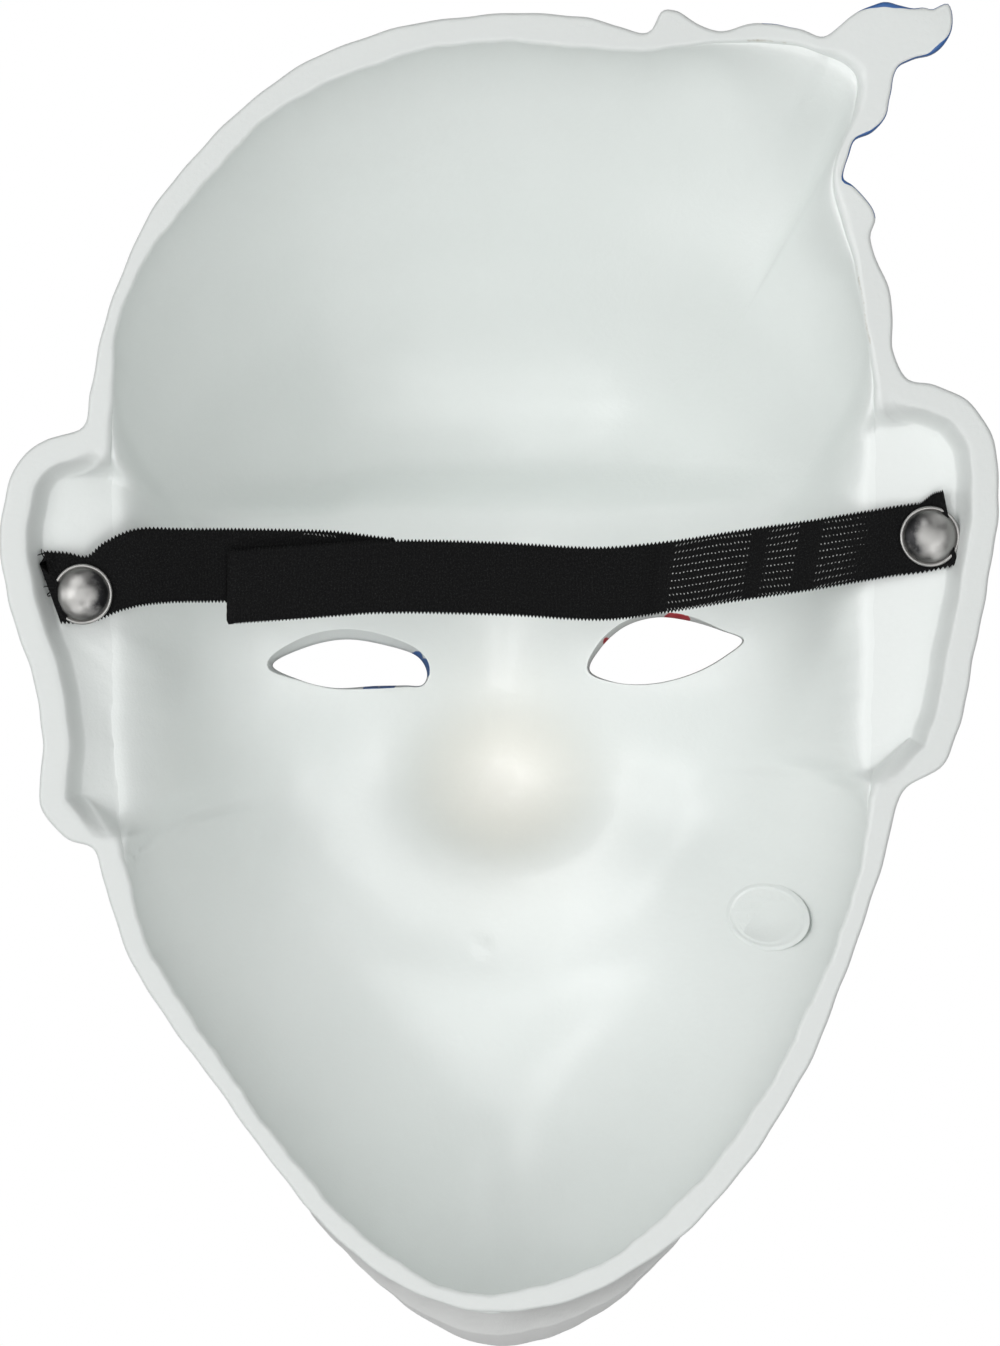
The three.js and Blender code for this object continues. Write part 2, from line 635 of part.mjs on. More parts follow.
function elasticStrap() {
  let strap = solidOf(strapRibbon());
  for (const place of Object.values(RIVETS)) strap = strap.subtract(rivetHole(place));
  return geometryOf(strap);
}

// Turned shape about an upright axis, from points of radius and height that start and end on it.
function turned(profile, place, bottom) {
  const lathe = new THREE.LatheGeometry(
    profile.map(([radius, height]) => new THREE.Vector2(radius, height)),
    RIVET_SIDES,
  );
  lathe.rotateX(Math.PI / 2);
  lathe.translate(place.x, place.y, bottom);
  return geometryOf(solidOf(lathe));
}

// Domed cap with a rolled edge, and a socket below that takes the end of the post.
function rivetCap(place) {
  const socket = POST_RADIUS + FIT_GAP;
  const dome = [1, 0.75, 0.5, 0.25].map((share) => {
    const angle = (share * Math.PI) / 2;
    const radius = (CAP_RADIUS - CAP_BEAD) * Math.sin(angle);
    return [radius, 2 * CAP_BEAD + (CAP_HEIGHT - 2 * CAP_BEAD) * Math.cos(angle)];
  });
  const profile = [
    [0, CAP_HEIGHT / 2],
    [socket, CAP_HEIGHT / 2],
    [socket, 0],
    [CAP_RADIUS - CAP_BEAD, 0],
    [CAP_RADIUS, CAP_BEAD],
    ...dome,
    [0, CAP_HEIGHT],
  ];
  return turned(profile, place, EAR_FLOOR + STRAP_THICKNESS + 2 * FIT_GAP);
}

// Post that passes through foam and strap, with a low head in front of the ear.
function rivetPost(place) {
  const shaft = POST_HEAD_HEIGHT + FOAM_WALL + STRAP_THICKNESS + 3 * FIT_GAP;
  const top = shaft + CAP_HEIGHT / 2 - FIT_GAP;
  const profile = [
    [0, 0],
    [POST_HEAD_RADIUS * 0.7, 0],
    [POST_HEAD_RADIUS, POST_HEAD_HEIGHT * 0.6],
    [POST_HEAD_RADIUS, POST_HEAD_HEIGHT],
    [POST_RADIUS, POST_HEAD_HEIGHT],
    [POST_RADIUS, top],
    [0, top],
  ];
  return turned(profile, place, EAR_FLOOR - FOAM_WALL - FIT_GAP - POST_HEAD_HEIGHT);
}

const foam = new THREE.MeshStandardMaterial({ color: 0xdde3e0, roughness: 0.7, metalness: 0 });
const elastic = new THREE.MeshStandardMaterial({ color: 0x1b1b1d, roughness: 0.9, metalness: 0 });
const nickel = new THREE.MeshStandardMaterial({ color: 0xc4c2bc, roughness: 0.25, metalness: 1 });

function named(name, geometry, material) {
  const mesh = new THREE.Mesh(geometry, material);
  mesh.name = name;
  return mesh;
}

const mask = new THREE.Group();
mask.add(named("mask_shell", maskShell(), foam));
mask.add(named("elastic_strap", elasticStrap(), elastic));
for (const [side, place] of Object.entries(RIVETS)) {
  mask.add(named("rivet_cap_" + side, rivetCap(place), nickel));
  mask.add(named("rivet_post_" + side, rivetPost(place), nickel));
}

// The origin is under the middle of the mask, on the surface it lies on.
const middle = new THREE.Box3().setFromObject(mask).getCenter(new THREE.Vector3());
mask.position.set(-middle.x, -middle.y, 0);

const part = new THREE.Group();
part.add(mask);

export default part;
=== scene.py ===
"""Foam clown mask, lying face down on its nose and forehead with the hollow up.

Shapes are worked out with numpy in millimetres, on the mask's own drawing: x across the face,
y towards the top of the head, z up from the surface it lies on. They go into meshes in metres.
"""
import math

import bpy
import numpy as np
from bpy.props import FloatProperty, FloatVectorProperty, IntProperty, PointerProperty
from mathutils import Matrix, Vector
from mathutils.geometry import delaunay_2d_cdt


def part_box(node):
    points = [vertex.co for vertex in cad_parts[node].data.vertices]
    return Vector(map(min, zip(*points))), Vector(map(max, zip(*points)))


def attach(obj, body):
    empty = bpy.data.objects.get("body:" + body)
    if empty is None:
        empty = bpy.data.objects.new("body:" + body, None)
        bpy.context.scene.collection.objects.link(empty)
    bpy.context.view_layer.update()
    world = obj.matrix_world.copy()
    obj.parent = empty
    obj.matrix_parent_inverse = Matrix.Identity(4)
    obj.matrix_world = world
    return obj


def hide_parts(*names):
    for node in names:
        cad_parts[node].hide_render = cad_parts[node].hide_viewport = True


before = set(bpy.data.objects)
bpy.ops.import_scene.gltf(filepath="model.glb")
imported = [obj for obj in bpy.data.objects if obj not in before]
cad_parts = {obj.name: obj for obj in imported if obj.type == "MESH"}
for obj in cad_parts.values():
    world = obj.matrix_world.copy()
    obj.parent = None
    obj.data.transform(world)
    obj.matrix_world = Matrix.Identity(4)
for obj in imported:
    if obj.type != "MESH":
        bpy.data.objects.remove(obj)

bl_info = {
    "name": "Foam clown mask",
    "version": (1, 0, 0),
    "blender": (4, 5, 0),
    "location": "View3D > Sidebar > Mask",
    "description": "Builds the foam shell, the elastic strap and the rivets round the packed frame",
    "category": "Add Mesh",
}

MM = 0.001
TURN = 2 * math.pi
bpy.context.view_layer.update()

# Fixed points of the drawing, in millimetres
RIVETS = {"left": (-83.8, 15.8), "right": (86.3, 27.4)}
CENTRE = np.array([0.0, -20.0])
LEFT_CAP = [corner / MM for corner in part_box("rivet_cap_left")]
OFFSET = np.array([
    (LEFT_CAP[0].x + LEFT_CAP[1].x) / 2 - RIVETS["left"][0],
    (LEFT_CAP[0].y + LEFT_CAP[1].y) / 2 - RIVETS["left"][1],
    0.0,
])
RIM_HEIGHT = round(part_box("mask_shell")[1].z / MM, 2)

# Surface grid of the shell
GRID_CELLS = 176
COLUMNS = 4 * GRID_CELLS
ANGLE_SMOOTHING = 0.006
TUFT_ROUNDS = 400
EAR_SMOOTHING = 0.06
CENTRE_WEIGHT = 0.6
MEAN_RADIUS = 100.0
WALL_SHARE = 0.82
EDGE_SHARE = 0.5
EDGE_SMOOTHING = 0.022
LINE_SAMPLES = 1440

# Bowl
FACE_DEPTH = 67.0
BOWL_FULLNESS = 2.3
BOWL_EDGE = 0.52
EAR_BOWL_EDGE = 0.6
BROW = {
    "line": 36.5, "slope": 8.0, "step": 12.5, "half_width": 85.0,
    "left_drop": 3.5, "left_slope": 7.0, "left_step": 4.0}
INSET_CHANGE = 0.7
LIP_RISE = 8.0
LIP_HALF_HEIGHT = 7.5
SMILE_HALF_WIDTH = 36.0
SMILE_CURVE = 0.0125
LIP_LINES = (-58.0, -77.0)
CHIN = {
    "overhang": 18.0, "depth": 36.0, "height": 27.0, "x": 6.0, "width": 44.0,
    "start": -60.0, "full": -112.0}
DIMPLE = {"x": -3.6, "y": -57.4, "depth": 1.5, "radius": 1.7, "ring": 0.6, "ring_radius": 3.3}

# Rim and ears
RIM_EDGE_ROUND = 1.0
RIM_LIP = 3.5
OUTER_ROUND = 0.8
WALL_IN_PLAN = 3.6
WALL_IN_GAP = 0.94
EAR_RIM = 5.0
EAR_SLOPE = 3.4
EAR_ROLL = (12.0, 15.0)
EAR_ROLL_RISE = (5.0, 35.0)
EAR_TILT = {"left": 3.4, "right": 0.8}
EAR_RUN_ON = {"left": 0.28, "right": 0.07}
TUFT_ROLL = 4.0
EAR_REACH = 8.0
EAR_BLEND = 5.0
EAR_TOP = 70.0

# Unevenness of the hand-trimmed rim: waves round the mask, and their heights
EDGE_RIPPLE = ((17, 43, 91), (0.10, 0.09, 0.07))
WALL_RIPPLE = ((23, 52, 118), (0.14, 0.12, 0.08))

# Rows of points over the rim, from the inside outwards
DISH_ROWS = 8
SLOPE_ROWS = 10
SLOPE_SHARE = 0.6
TOP_SHARES = (0.25, 0.5, 0.75, 0.9, 1.0)
CORNER_SHARES = (0.2, 0.4, 0.6, 0.8, 1.0)
TUFT_MARGIN = 6

# Rows down the back of the rim: how far inwards and down on a plain rim, and at an ear
LIP_INSET = 0.2
BACK_ROWS = [(0.0, 1.6, 0.0, 3.5), (0.0, 2.3, 0.0, 7.0), (0.0, 2.9, 0.5, 10.3), (0.06, 3.25, 1.5, 12.3)]

# Rows from that lip to the front's bowl: share of the way left, and at an ear as above
LIP_ROWS = [(0.9, 2.6, 12.9), (0.75, 3.6, 12.5), (0.6, 4.6, 11.8), (0.45, 5.6, 10.9), (0.3, 6.8, 10.4)]
LAST_LIP_ROW = (0.15, 8.2)

# Locks of hair in front
HAIR_LOCKS = 9
HAIR_STRANDS = 54
HAIR_RISE = 2.6
STRAND_RISE = 0.35
HAIR_FROM = 22.0
HAIR_TO = 112.0
HAIR_SHARE = 0.66
HAIR_FADE = 0.14
HAIR_SLANT = 2.0
HAIR_END = 0.125
HAIR_CLEAR = 9.0
HAIR_CLEAR_FADE = 26.0

# Swellings and hollows of the face: x, y, half width, half height, rise, squareness, paired
FEATURES = {
    "forehead": (0, 73, 70, 42, 30, 1.4, False),
    "brow boss": (29, 56, 18, 17, 3.5, 1, True),
    "eye socket": (33, 5, 20, 14, -8, 1.3, True),
    "nose bridge": (0, 2, 9, 22, 8, 1, False),
    "nose ball": (0, -26, 18, 18, 24, 1.6, False),
    "cheek": (47, -31, 23, 21, 12, 1, True),
    "beside the mouth": (23, -76, 18, 13, 4, 1, True),
    "chin": (2, -94, 32, 19, 15, 1.1, False),
    "hair lock": (50, 104, 27, 16, 9, 1.2, False),
}

# The same inside, where it differs from the front, and forms that show only inside
INNER_BROW = {**BROW, "line": 39.6, "slope": 5.0, "left_slope": 3.6}
INNER_LIP_RISE = 0.9
INNER_FEATURES = {
    "nose bridge": (0, 0, 14, 22, 5.5, 1, False),
    "nose ball": (1, -23, 20, 16.3, 19, 1.5, False),
    "beside the nose, left": (-27, -34, 12, 13, -4, 1, False),
    "beside the nose, right": (26, -36, 11, 12, -1.5, 1, False),
}

# Outer edge of the rim, counter-clockwise from above: how closely it is followed, and points
TUFT = "hair tuft"
RIM_STRETCHES = {
    "right jaw": (0.9, [
        (0, -127.8), (12.8, -126), (31.8, -116.4), (45.4, -103.4), (61.8, -78.4),
        (69.8, -58.4), (76.4, -38.4), (79.4, -27)]),
    "right ear": (1.1, [
        (81.6, -22.8), (88.4, -18.8), (91.6, -12), (94.4, 1.6), (98.4, 21.6), (99.8, 34),
        (98.6, 46.6), (93.6, 54.6), (87, 57.6), (81.6, 59)]),
    "hair at the temple": (1.1, [(78.8, 64.4), (78, 76), (74, 87)]),
    TUFT: (1.5, [
        (75.2, 91), (73.4, 95), (70.4, 97.7), (68.8, 98.9), (69, 101.4), (70, 104),
        (71.2, 106.9), (74.6, 108.5), (77.3, 111.8), (78.2, 115.4), (78.8, 119.2),
        (80, 121.6), (82.6, 122.7), (86, 123.6), (88.7, 125.6), (90.2, 128.8), (90.5, 132.2),
        (89.6, 133.9), (88.1, 133.5), (86.5, 132.8), (84.8, 133.1), (82.8, 132.9), (80, 133.8),
        (76.6, 134.4), (70.2, 131.4), (64.8, 127.4), (59, 129)]),
    "hair at the top": (1.3, [
        (52, 130.2), (43.4, 128.6), (35.2, 132.4), (32.6, 132.5), (29.8, 128.3)]),
    "skull": (0.9, [
        (16, 131.5), (-2.8, 131.8), (-25.8, 127.6), (-43.4, 119.6), (-60, 104.6),
        (-71.4, 89.6), (-79.6, 68.6), (-81.8, 56.6)]),
    "left ear": (1.1, [
        (-83.4, 49.2), (-91.2, 46.6), (-97.2, 41), (-100, 29), (-98.8, 16.6), (-93, -3.4),
        (-91.6, -13.4), (-91.6, -27), (-86.6, -33.2), (-81.2, -35.4)]),
    "left jaw": (0.9, [
        (-79.4, -42), (-73.4, -58.4), (-60, -78.4), (-37.2, -108.4), (-24, -120.2), (-9.4, -127)]),
}

BOWL_OVAL = [
    (0, -124), (36, -105.5), (61, -67), (74, -20), (76, 30), (71.5, 76), (50, 112), (0, 126.2),
    (-46, 111.5), (-72, 78), (-77, 34), (-75.5, -20), (-64, -65), (-37, -103)]

HEAD_WALL = [
    (0, -124), (20, -118), (36, -105.5), (51, -87), (62, -66), (70, -46), (74, -25), (75, 0),
    (75.5, 25), (75.5, 48), (73.5, 66), (70.5, 84), (66.5, 100), (70.5, 112), (71, 120),
    (63, 124.5), (48, 126.4), (27, 124.2), (0, 126.2), (-20, 123.2), (-42.6, 113.6),
    (-59.2, 97.6), (-70, 83.6), (-76.4, 69), (-77.5, 50), (-78.3, 30), (-78.3, 5),
    (-77.6, -20), (-74.8, -38), (-70, -55), (-60, -71), (-45.2, -92.2), (-29.8, -110), (-13, -122)]

# Eye holes: x, y and how far the cut edge slopes out towards the inside
EYE_HOLES = {
    "left": [
        (-47.5, 1.6, 0.9), (-41, 5.2, 2.0), (-32.5, 7, 2.1), (-24, 5.8, 1.9), (-17.6, 3.6, 1.2),
        (-15.8, 1.4, 0.9), (-15.4, -0.8, 0.4), (-16.4, -2.5, 0.2), (-20, -2.6, 0.3), (-26, -2.7, 0.5),
        (-35, -3.1, 0.1), (-42, -1.4, 0.08)],
    "right": [
        (50.5, 6.8, 0.08), (46, 8.9, 0.15), (39, 11, 0.9), (32.5, 11.6, 0.9), (26, 9.6, 1.0),
        (21, 5, 1.0), (18.9, 0.6, 0.5), (24, -1.9, 0.1), (32, -2.2, 0.08), (40.5, 0, 0.08),
        (47, 3.6, 0.08)],
}
EYE_POINTS_PER_KNOT = 12
EYE_RING_SHARES = (0.0, 0.4, 0.7, 1.0)
EYE_WIDEST = 2.7
EYE_CLEARING = 3.0
EYE_ALIGNED = 4.0
EYE_ALIGNED_FADE = 12.0
EYE_EDGE_ROUND = 0.15
EYE_FRONT_ROUND = 0.3

# Moulded stamp inside the cheek
STAMP = {
    "x": 54.9, "y": -50.2, "across": 0.98, "up": 0.82, "radius": 8.4, "ring": 7.4,
    "ring_rise": 0.5, "strokes": 6.0}

# Middle line of the strap: x, y, z and the turn of its width from straight up the face
EAR_FLOOR = 86.0
STRAP_SEAT = EAR_FLOOR + 0.85
FOLD_HEIGHT = 80.0
FOLD_STEP = 1.6
STRAP_ROUTE = [
    (-89.6, 17.2, STRAP_SEAT, 12),
    (-83.8, 17.4, STRAP_SEAT, 14),
    (-78, 19.6, STRAP_SEAT, 14),
    (-73, 20.8, STRAP_SEAT - 0.1, 11),
    (-67, 21.5, STRAP_SEAT - 1.6, 6),
    (-59, 21.7, STRAP_SEAT - 4, 2),
    (-48, 21.7, FOLD_HEIGHT + 0.6, 0),
    (-34, 21.3, FOLD_HEIGHT, -3),
    (-25, 20.2, FOLD_HEIGHT, -5),
    (-22.8, 19.9, FOLD_HEIGHT + 0.1, -5),
    (-22.1, 19.8, FOLD_HEIGHT + FOLD_STEP / 2, -4),
    (-22.8, 19.7, FOLD_HEIGHT + FOLD_STEP - 0.1, -3),
    (-25, 19.5, FOLD_HEIGHT + FOLD_STEP, -3),
    (-38, 18.4, FOLD_HEIGHT + FOLD_STEP, -3),
    (-51.6, 17.5, FOLD_HEIGHT + FOLD_STEP + 0.6, -1),
    (-53.8, 17.4, FOLD_HEIGHT + FOLD_STEP + 0.7, -1),
    (-54.5, 17.4, FOLD_HEIGHT + 1.5 * FOLD_STEP + 0.6, -1),
    (-53.8, 17.4, FOLD_HEIGHT + 2 * FOLD_STEP + 0.5, -1),
    (-51.6, 17.6, FOLD_HEIGHT + 2 * FOLD_STEP + 0.5, -2),
    (-40, 18.5, FOLD_HEIGHT + 2 * FOLD_STEP + 0.2, -3),
    (-22, 19.4, FOLD_HEIGHT + 2 * FOLD_STEP, -1),
    (0, 19, RIM_HEIGHT - 9.5, 3),
    (21, 18, RIM_HEIGHT - 9.5, 2),
    (34, 19.4, RIM_HEIGHT - 9, -8),
    (48, 21.6, RIM_HEIGHT - 8, -9),
    (62, 23.6, RIM_HEIGHT - 6.6, -10),
    (74, 25.6, STRAP_SEAT + 0.3, -11),
    (80, 26.6, STRAP_SEAT, -12),
    (86.3, 27.4, STRAP_SEAT, -12),
    (91.2, 28.4, STRAP_SEAT, -12),
]
STRAP_TEETH = 345
STEPS_PER_TOOTH = 4
STRAP_ACROSS = 27
TOOTH_DEPTH = 0.6

# Bends of the strap's upper edge: rise, distance from the left end and half length
STRAP_BENDS = [(-1.7, 8.2, 2.6), (-0.5, 12.0, 3.0), (0.7, 19.0, 5.0)]

# Cut ends of the strap: slant at the lower and upper edge, loose threads, notch, and curl
LEFT_END = {
    "slant": (0.3, -0.2), "fray": 0.3, "threads": 9, "notch": 1.5, "reach": 6.0, "curl": 1.5,
    "curl_reach": 2.6}
RIGHT_END = {
    "slant": (2.4, -4.4), "fray": 0.15, "threads": 11, "notch": 0.0, "reach": 9.0, "curl": 1.2,
    "curl_reach": 3.5}
RIB_DEPTH = 0.15
THIN_EDGE = 0.35
CREASE = {"x": 31.8, "depth": 0.7, "half_length": 1.6}

# Knots of the middle line where the top layer begins, and where the bottom layer ends
TOP_LAYER_FROM = 20
BOTTOM_LAYER_TO = 8

# Where painted pale dots stand for the lit foam seen through the knit of the top and the bottom layer: x,
# and share of gaps open
OPEN_KNIT = [
    (23, 0), (26, 0.25), (29, 0.35), (30, 0), (33.5, 0), (34.5, 1), (49, 1), (50.5, 0.25), (52.5, 0.3),
    (54, 1), (59, 1), (60, 0), (63, 0), (64.5, 0.9), (70, 0.8), (76, 0.3), (80, 0.1), (82, 0)]
OPEN_KNIT_LOW = [(-41, 0), (-40, 0.8), (-33.5, 0.8), (-33, 0)]


# Numbers

def smoothstep(value):
    """3t^2 - 2t^3, with t the value held between 0 and 1."""
    t = np.clip(value, 0.0, 1.0)
    return t * t * (3 - 2 * t)


def bell(value):
    """exp(-value^2)."""
    return np.exp(-np.square(value))


def mix(first, second, share):
    """first + share (second - first)."""
    return first + (second - first) * share


def spline(knots, u, closed):
    """Centripetal Catmull-Rom line through the knots, at u counted in knots.

    Between knots p1 and p2 it is the cubic with slopes d1 t1 and d1 t2 at its ends, where
    t1 = (p1-p0)/d0 - (p2-p0)/(d0+d1) + (p2-p1)/d1, t2 is the same one knot on, and each d is
    the square root of the distance between two knots.
    """
    knots = np.asarray(knots, float)
    count = len(knots)
    u = np.asarray(u, float)
    first = np.floor(u).astype(int)
    if closed:
        p = [knots[(first + k) % count] for k in (-1, 0, 1, 2)]
    else:
        first = np.clip(first, 0, count - 2)
        padded = np.vstack([2 * knots[0] - knots[1], knots, 2 * knots[-1] - knots[-2]])
        p = [padded[first + k] for k in (0, 1, 2, 3)]
    d = [np.sqrt(np.linalg.norm(b - a, axis=1, keepdims=True)) for a, b in zip(p, p[1:])]
    t1 = d[1] * ((p[1] - p[0]) / d[0] - (p[2] - p[0]) / (d[0] + d[1]) + (p[2] - p[1]) / d[1])
    t2 = d[1] * ((p[2] - p[1]) / d[1] - (p[3] - p[1]) / (d[1] + d[2]) + (p[3] - p[2]) / d[2])
    w = (u - first)[:, None]
    across = p[2] - p[1]
    return p[1] + t1 * w + (3 * across - 2 * t1 - t2) * w**2 + (t1 + t2 - 2 * across) * w**3


def closed_line(knots):
    """Closely spaced points of the closed line through the knots."""
    return spline(knots, np.arange(0, len(knots), len(knots) / LINE_SAMPLES), closed=True)


def polar(points):
    """Angle and distance of points about the middle of the face."""
    away = points[..., :2] - CENTRE
    return np.arctan2(away[..., 1], away[..., 0]), np.linalg.norm(away, axis=-1)


def smoothed(values, share):
    """Mean of a closed row of values over a share of the row to each side."""
    reach = round(len(values) * share)
    start = np.zeros((1,) + values.shape[1:])
    sums = np.cumsum(np.concatenate([start, values[-reach:], values, values[:reach]]), axis=0)
    width = 2 * reach + 1
    return (sums[width:] - sums[:-width]) / width


def outward(points):
    """Outward direction of a closed, counter-clockwise line at each of its points."""
    along = np.roll(points, -1, axis=0) - np.roll(points, 1, axis=0)
    across = np.stack([along[:, 1], -along[:, 0]], axis=1)
    return across / np.linalg.norm(across, axis=1, keepdims=True)


def distance_to(points, line):
    """Signed distance from points to a closed line of short straight steps, negative inside."""
    start = line[None, :, :]
    step = np.roll(line, -1, axis=0)[None] - start
    away = points[:, None, :] - start
    share = np.clip((away * step).sum(-1) / (step * step).sum(-1), 0, 1)
    nearest = np.linalg.norm(away - share[..., None] * step, axis=-1).min(axis=1)
    low = away[..., 1] >= 0
    high = (away - step)[..., 1] >= 0
    side = step[..., 0] * away[..., 1] - step[..., 1] * away[..., 0]
    winding = ((low & ~high & (side < 0)).sum(1) - (~low & high & (side > 0)).sum(1))
    return np.where(winding != 0, -nearest, nearest)


def band(numbers, flipped=False):
    """Quads between closed rows of point numbers, counter-clockwise or flipped."""
    onward = np.roll(numbers, -1, axis=1)
    corners = [numbers[:-1], onward[:-1], onward[1:], numbers[1:]]
    if flipped:
        corners = [corners[0], corners[3], corners[2], corners[1]]
    return np.stack(corners, axis=-1).reshape(-1, 4)


# Rim

def rim_outline():
    """Outer edge of the rim at each column, and whether the column lies in the tuft."""
    knots = np.array([p for _, points in RIM_STRETCHES.values() for p in points], float)
    density = np.array([d for d, points in RIM_STRETCHES.values() for _ in points])
    tuft = np.array([name == TUFT for name, (_, points) in RIM_STRETCHES.items() for _ in points])
    steps = density * np.linalg.norm(np.roll(knots, -1, axis=0) - knots, axis=1)
    ends = np.concatenate([[0.0], np.cumsum(steps)])
    wanted = ends[-1] * np.arange(COLUMNS) / COLUMNS
    u = np.interp(wanted, ends, np.arange(len(ends)))
    return spline(knots, u, closed=True), tuft[u.astype(int)]


def column_angles(outline, in_tuft):
    """Angle of each column about the centre, never turning back.

    A column of the tuft starts from the head wall's nearest point.
    """
    angles = np.unwrap(polar(outline)[0])
    root, end = np.flatnonzero(in_tuft)[[0, -1]]
    wall = closed_line(HEAD_WALL)
    away = np.linalg.norm(outline[root:end + 1, None] - wall, axis=2)
    nearest = polar(wall[away.argmin(axis=1)])[0]
    angles[root:end + 1] = np.maximum.accumulate(nearest)
    rising = np.maximum.accumulate(angles)
    falling = np.minimum.accumulate(angles[::-1])[::-1]
    even = TURN * np.arange(COLUMNS) / COLUMNS
    return smoothed((rising + falling) / 2 - even, ANGLE_SMOOTHING) + even


def points_at(line, angles):
    """Point of a closed line round the centre on the ray at each angle."""
    angle, radius = polar(closed_line(line))
    found = np.interp(angles, angle, radius, period=TURN)[:, None]
    return CENTRE + found * np.stack([np.cos(angles), np.sin(angles)], axis=1)


def ripple(lap, counts, heights):
    """Unevenness of a hand-trimmed edge: the sum of height sin(count lap + count^2)."""
    return sum(high * np.sin(count * lap + count**2) for count, high in zip(counts, heights))


def rim_rows():
    """Rows of points over the rim, from the inner bowl over the edge to the outer bowl.

    A plain rim is a quarter round, a flat top, a quarter round and a lip. At an ear it becomes
    a dish floor, an S-shaped slope, a flat top and a rolled edge. share = smoothstep((width -
    EAR_REACH) / EAR_BLEND) mixes the two.
    """
    edge, in_tuft = rim_outline()
    angles = column_angles(edge, in_tuft)
    wall = points_at(HEAD_WALL, angles)
    oval = points_at(BOWL_OVAL, angles)
    out = outward(oval)
    edge_out = smoothed(outward(edge), 0.004)
    edge_out /= np.linalg.norm(edge_out, axis=1, keepdims=True)
    lap = TURN * np.arange(COLUMNS) / COLUMNS
    edge = edge + edge_out * ripple(lap, *EDGE_RIPPLE)[:, None]
    wall = wall + out * ripple(angles, *WALL_RIPPLE)[:, None]
    reach = np.linalg.norm(edge - wall, axis=1)
    softer = smoothed(np.maximum(in_tuft, (edge[:, 1] < EAR_TOP) * (reach > EAR_REACH)) * 1.0, 0.02)
    round_off = smoothed(RIM_EDGE_ROUND * mix(1.0, np.clip(reach / 2.5, 1.0, 2.5), softer), 0.004)
    ear = np.where(edge[:, 1] < EAR_TOP, smoothstep((reach - EAR_REACH) / EAR_BLEND), 0.0)
    gap = np.maximum(((edge - wall) * out).sum(axis=1), 1.0)
    ear_depth = RIM_HEIGHT - EAR_FLOOR
    foam = bpy.context.scene.mask_shell.foam_wall / MM

    def at(origin, direction, distance, depth):
        flat = origin + direction * np.reshape(distance, (-1, 1))
        return np.column_stack([flat, np.broadcast_to(RIM_HEIGHT - depth, len(flat))])

    ear_back = ear_depth + foam
    tilt = np.where(wall[:, 0] > 0, EAR_TILT["right"], EAR_TILT["left"])
    under = mix(RIM_LIP + RIM_EDGE_ROUND, ear_back + tilt, ear)
    outer = at(wall, out, np.minimum(WALL_IN_PLAN, WALL_IN_GAP * gap), under)
    rows = []

    def row(plain, full):
        rows.append(mix(plain, full, ear[:, None]))

    slope_foot = at(edge, edge_out, -EAR_RIM - EAR_SLOPE, ear_depth)
    for i in range(DISH_ROWS):
        share = i / (DISH_ROWS - 1)
        turn = share * math.pi / 2
        plain = at(wall, out, round_off * (1 - math.cos(turn)), round_off * (1 - math.sin(turn)))
        dish = mix(at(wall, out, 0.0, ear_depth), slope_foot, share)
        dish[:, 2] -= tilt * (1 - share)
        row(plain, dish)
    inner_line = at(wall, out, round_off, 0.0)
    outer_line = at(edge, edge_out, -OUTER_ROUND, 0.0)
    for i in range(1, SLOPE_ROWS + 1):
        share = i / SLOPE_ROWS
        depth = ear_depth * (1 - smoothstep(share))
        row(mix(inner_line, outer_line, SLOPE_SHARE * share),
            at(edge, edge_out, -EAR_RIM - EAR_SLOPE * (1 - share), depth))
    ear_line = at(edge, edge_out, -EAR_RIM, 0.0)
    for share in TOP_SHARES:
        along_top = SLOPE_SHARE + (1 - SLOPE_SHARE) * share
        row(mix(inner_line, outer_line, along_top), mix(ear_line, outer_line, share))
    for share in CORNER_SHARES:
        turn = share * math.pi / 2
        inwards = OUTER_ROUND * (1 - math.sin(turn))
        rows.append(at(edge, edge_out, -inwards, OUTER_ROUND * (1 - math.cos(turn))))
    edge_row = len(rows) - 3
    for inwards, depth, ear_inwards, down in BACK_ROWS:
        row(at(edge, edge_out, -inwards, depth), at(edge, edge_out, -ear_inwards, down))
    lip = at(edge, edge_out, -LIP_INSET, RIM_LIP)
    for share, inwards, down in [*LIP_ROWS, (*LAST_LIP_ROW, ear_back)]:
        row(mix(outer, lip, share), at(edge, edge_out, -inwards, down))
    rows.append(outer)
    rows = np.array(rows)
    root, end = np.flatnonzero(in_tuft)[[0, -1]]
    nearby = slice(root - TUFT_MARGIN, end + TUFT_MARGIN + 1)
    for stretch in (slice(DISH_ROWS - 1, edge_row - 2), slice(edge_row + 5, len(rows))):
        rows[stretch, nearby, :2] = untangled(rows[stretch, nearby, :2])
    lengths = np.linalg.norm(np.diff(rows, axis=0), axis=2)
    along = np.concatenate([np.zeros((1, COLUMNS)), np.cumsum(lengths, axis=0)])
    return {
        "rows": rows,
        "along": along - along[edge_row],
        "oval": {"inner": oval, "front": oval + (outer - at(wall, out, 0, 0))[:, :2]},
        "edge": {"inner": rows[0], "front": outer},
        "far_height": {
            "inner": smoothed_by_angle(rows[0, :, 2], angles, EDGE_SMOOTHING),
            "front": smoothed_by_angle(outer[:, 2], angles, EDGE_SMOOTHING),
        },
        "gentle": smoothed_by_angle(ear, angles, EAR_SMOOTHING),
        "roll": edge_roll(ear, wall, in_tuft, angles),
        "rim_top": rim_top(ear, in_tuft, len(rows), edge_row),
        "angles": angles,
        "in_tuft": in_tuft.astype(float),
    }


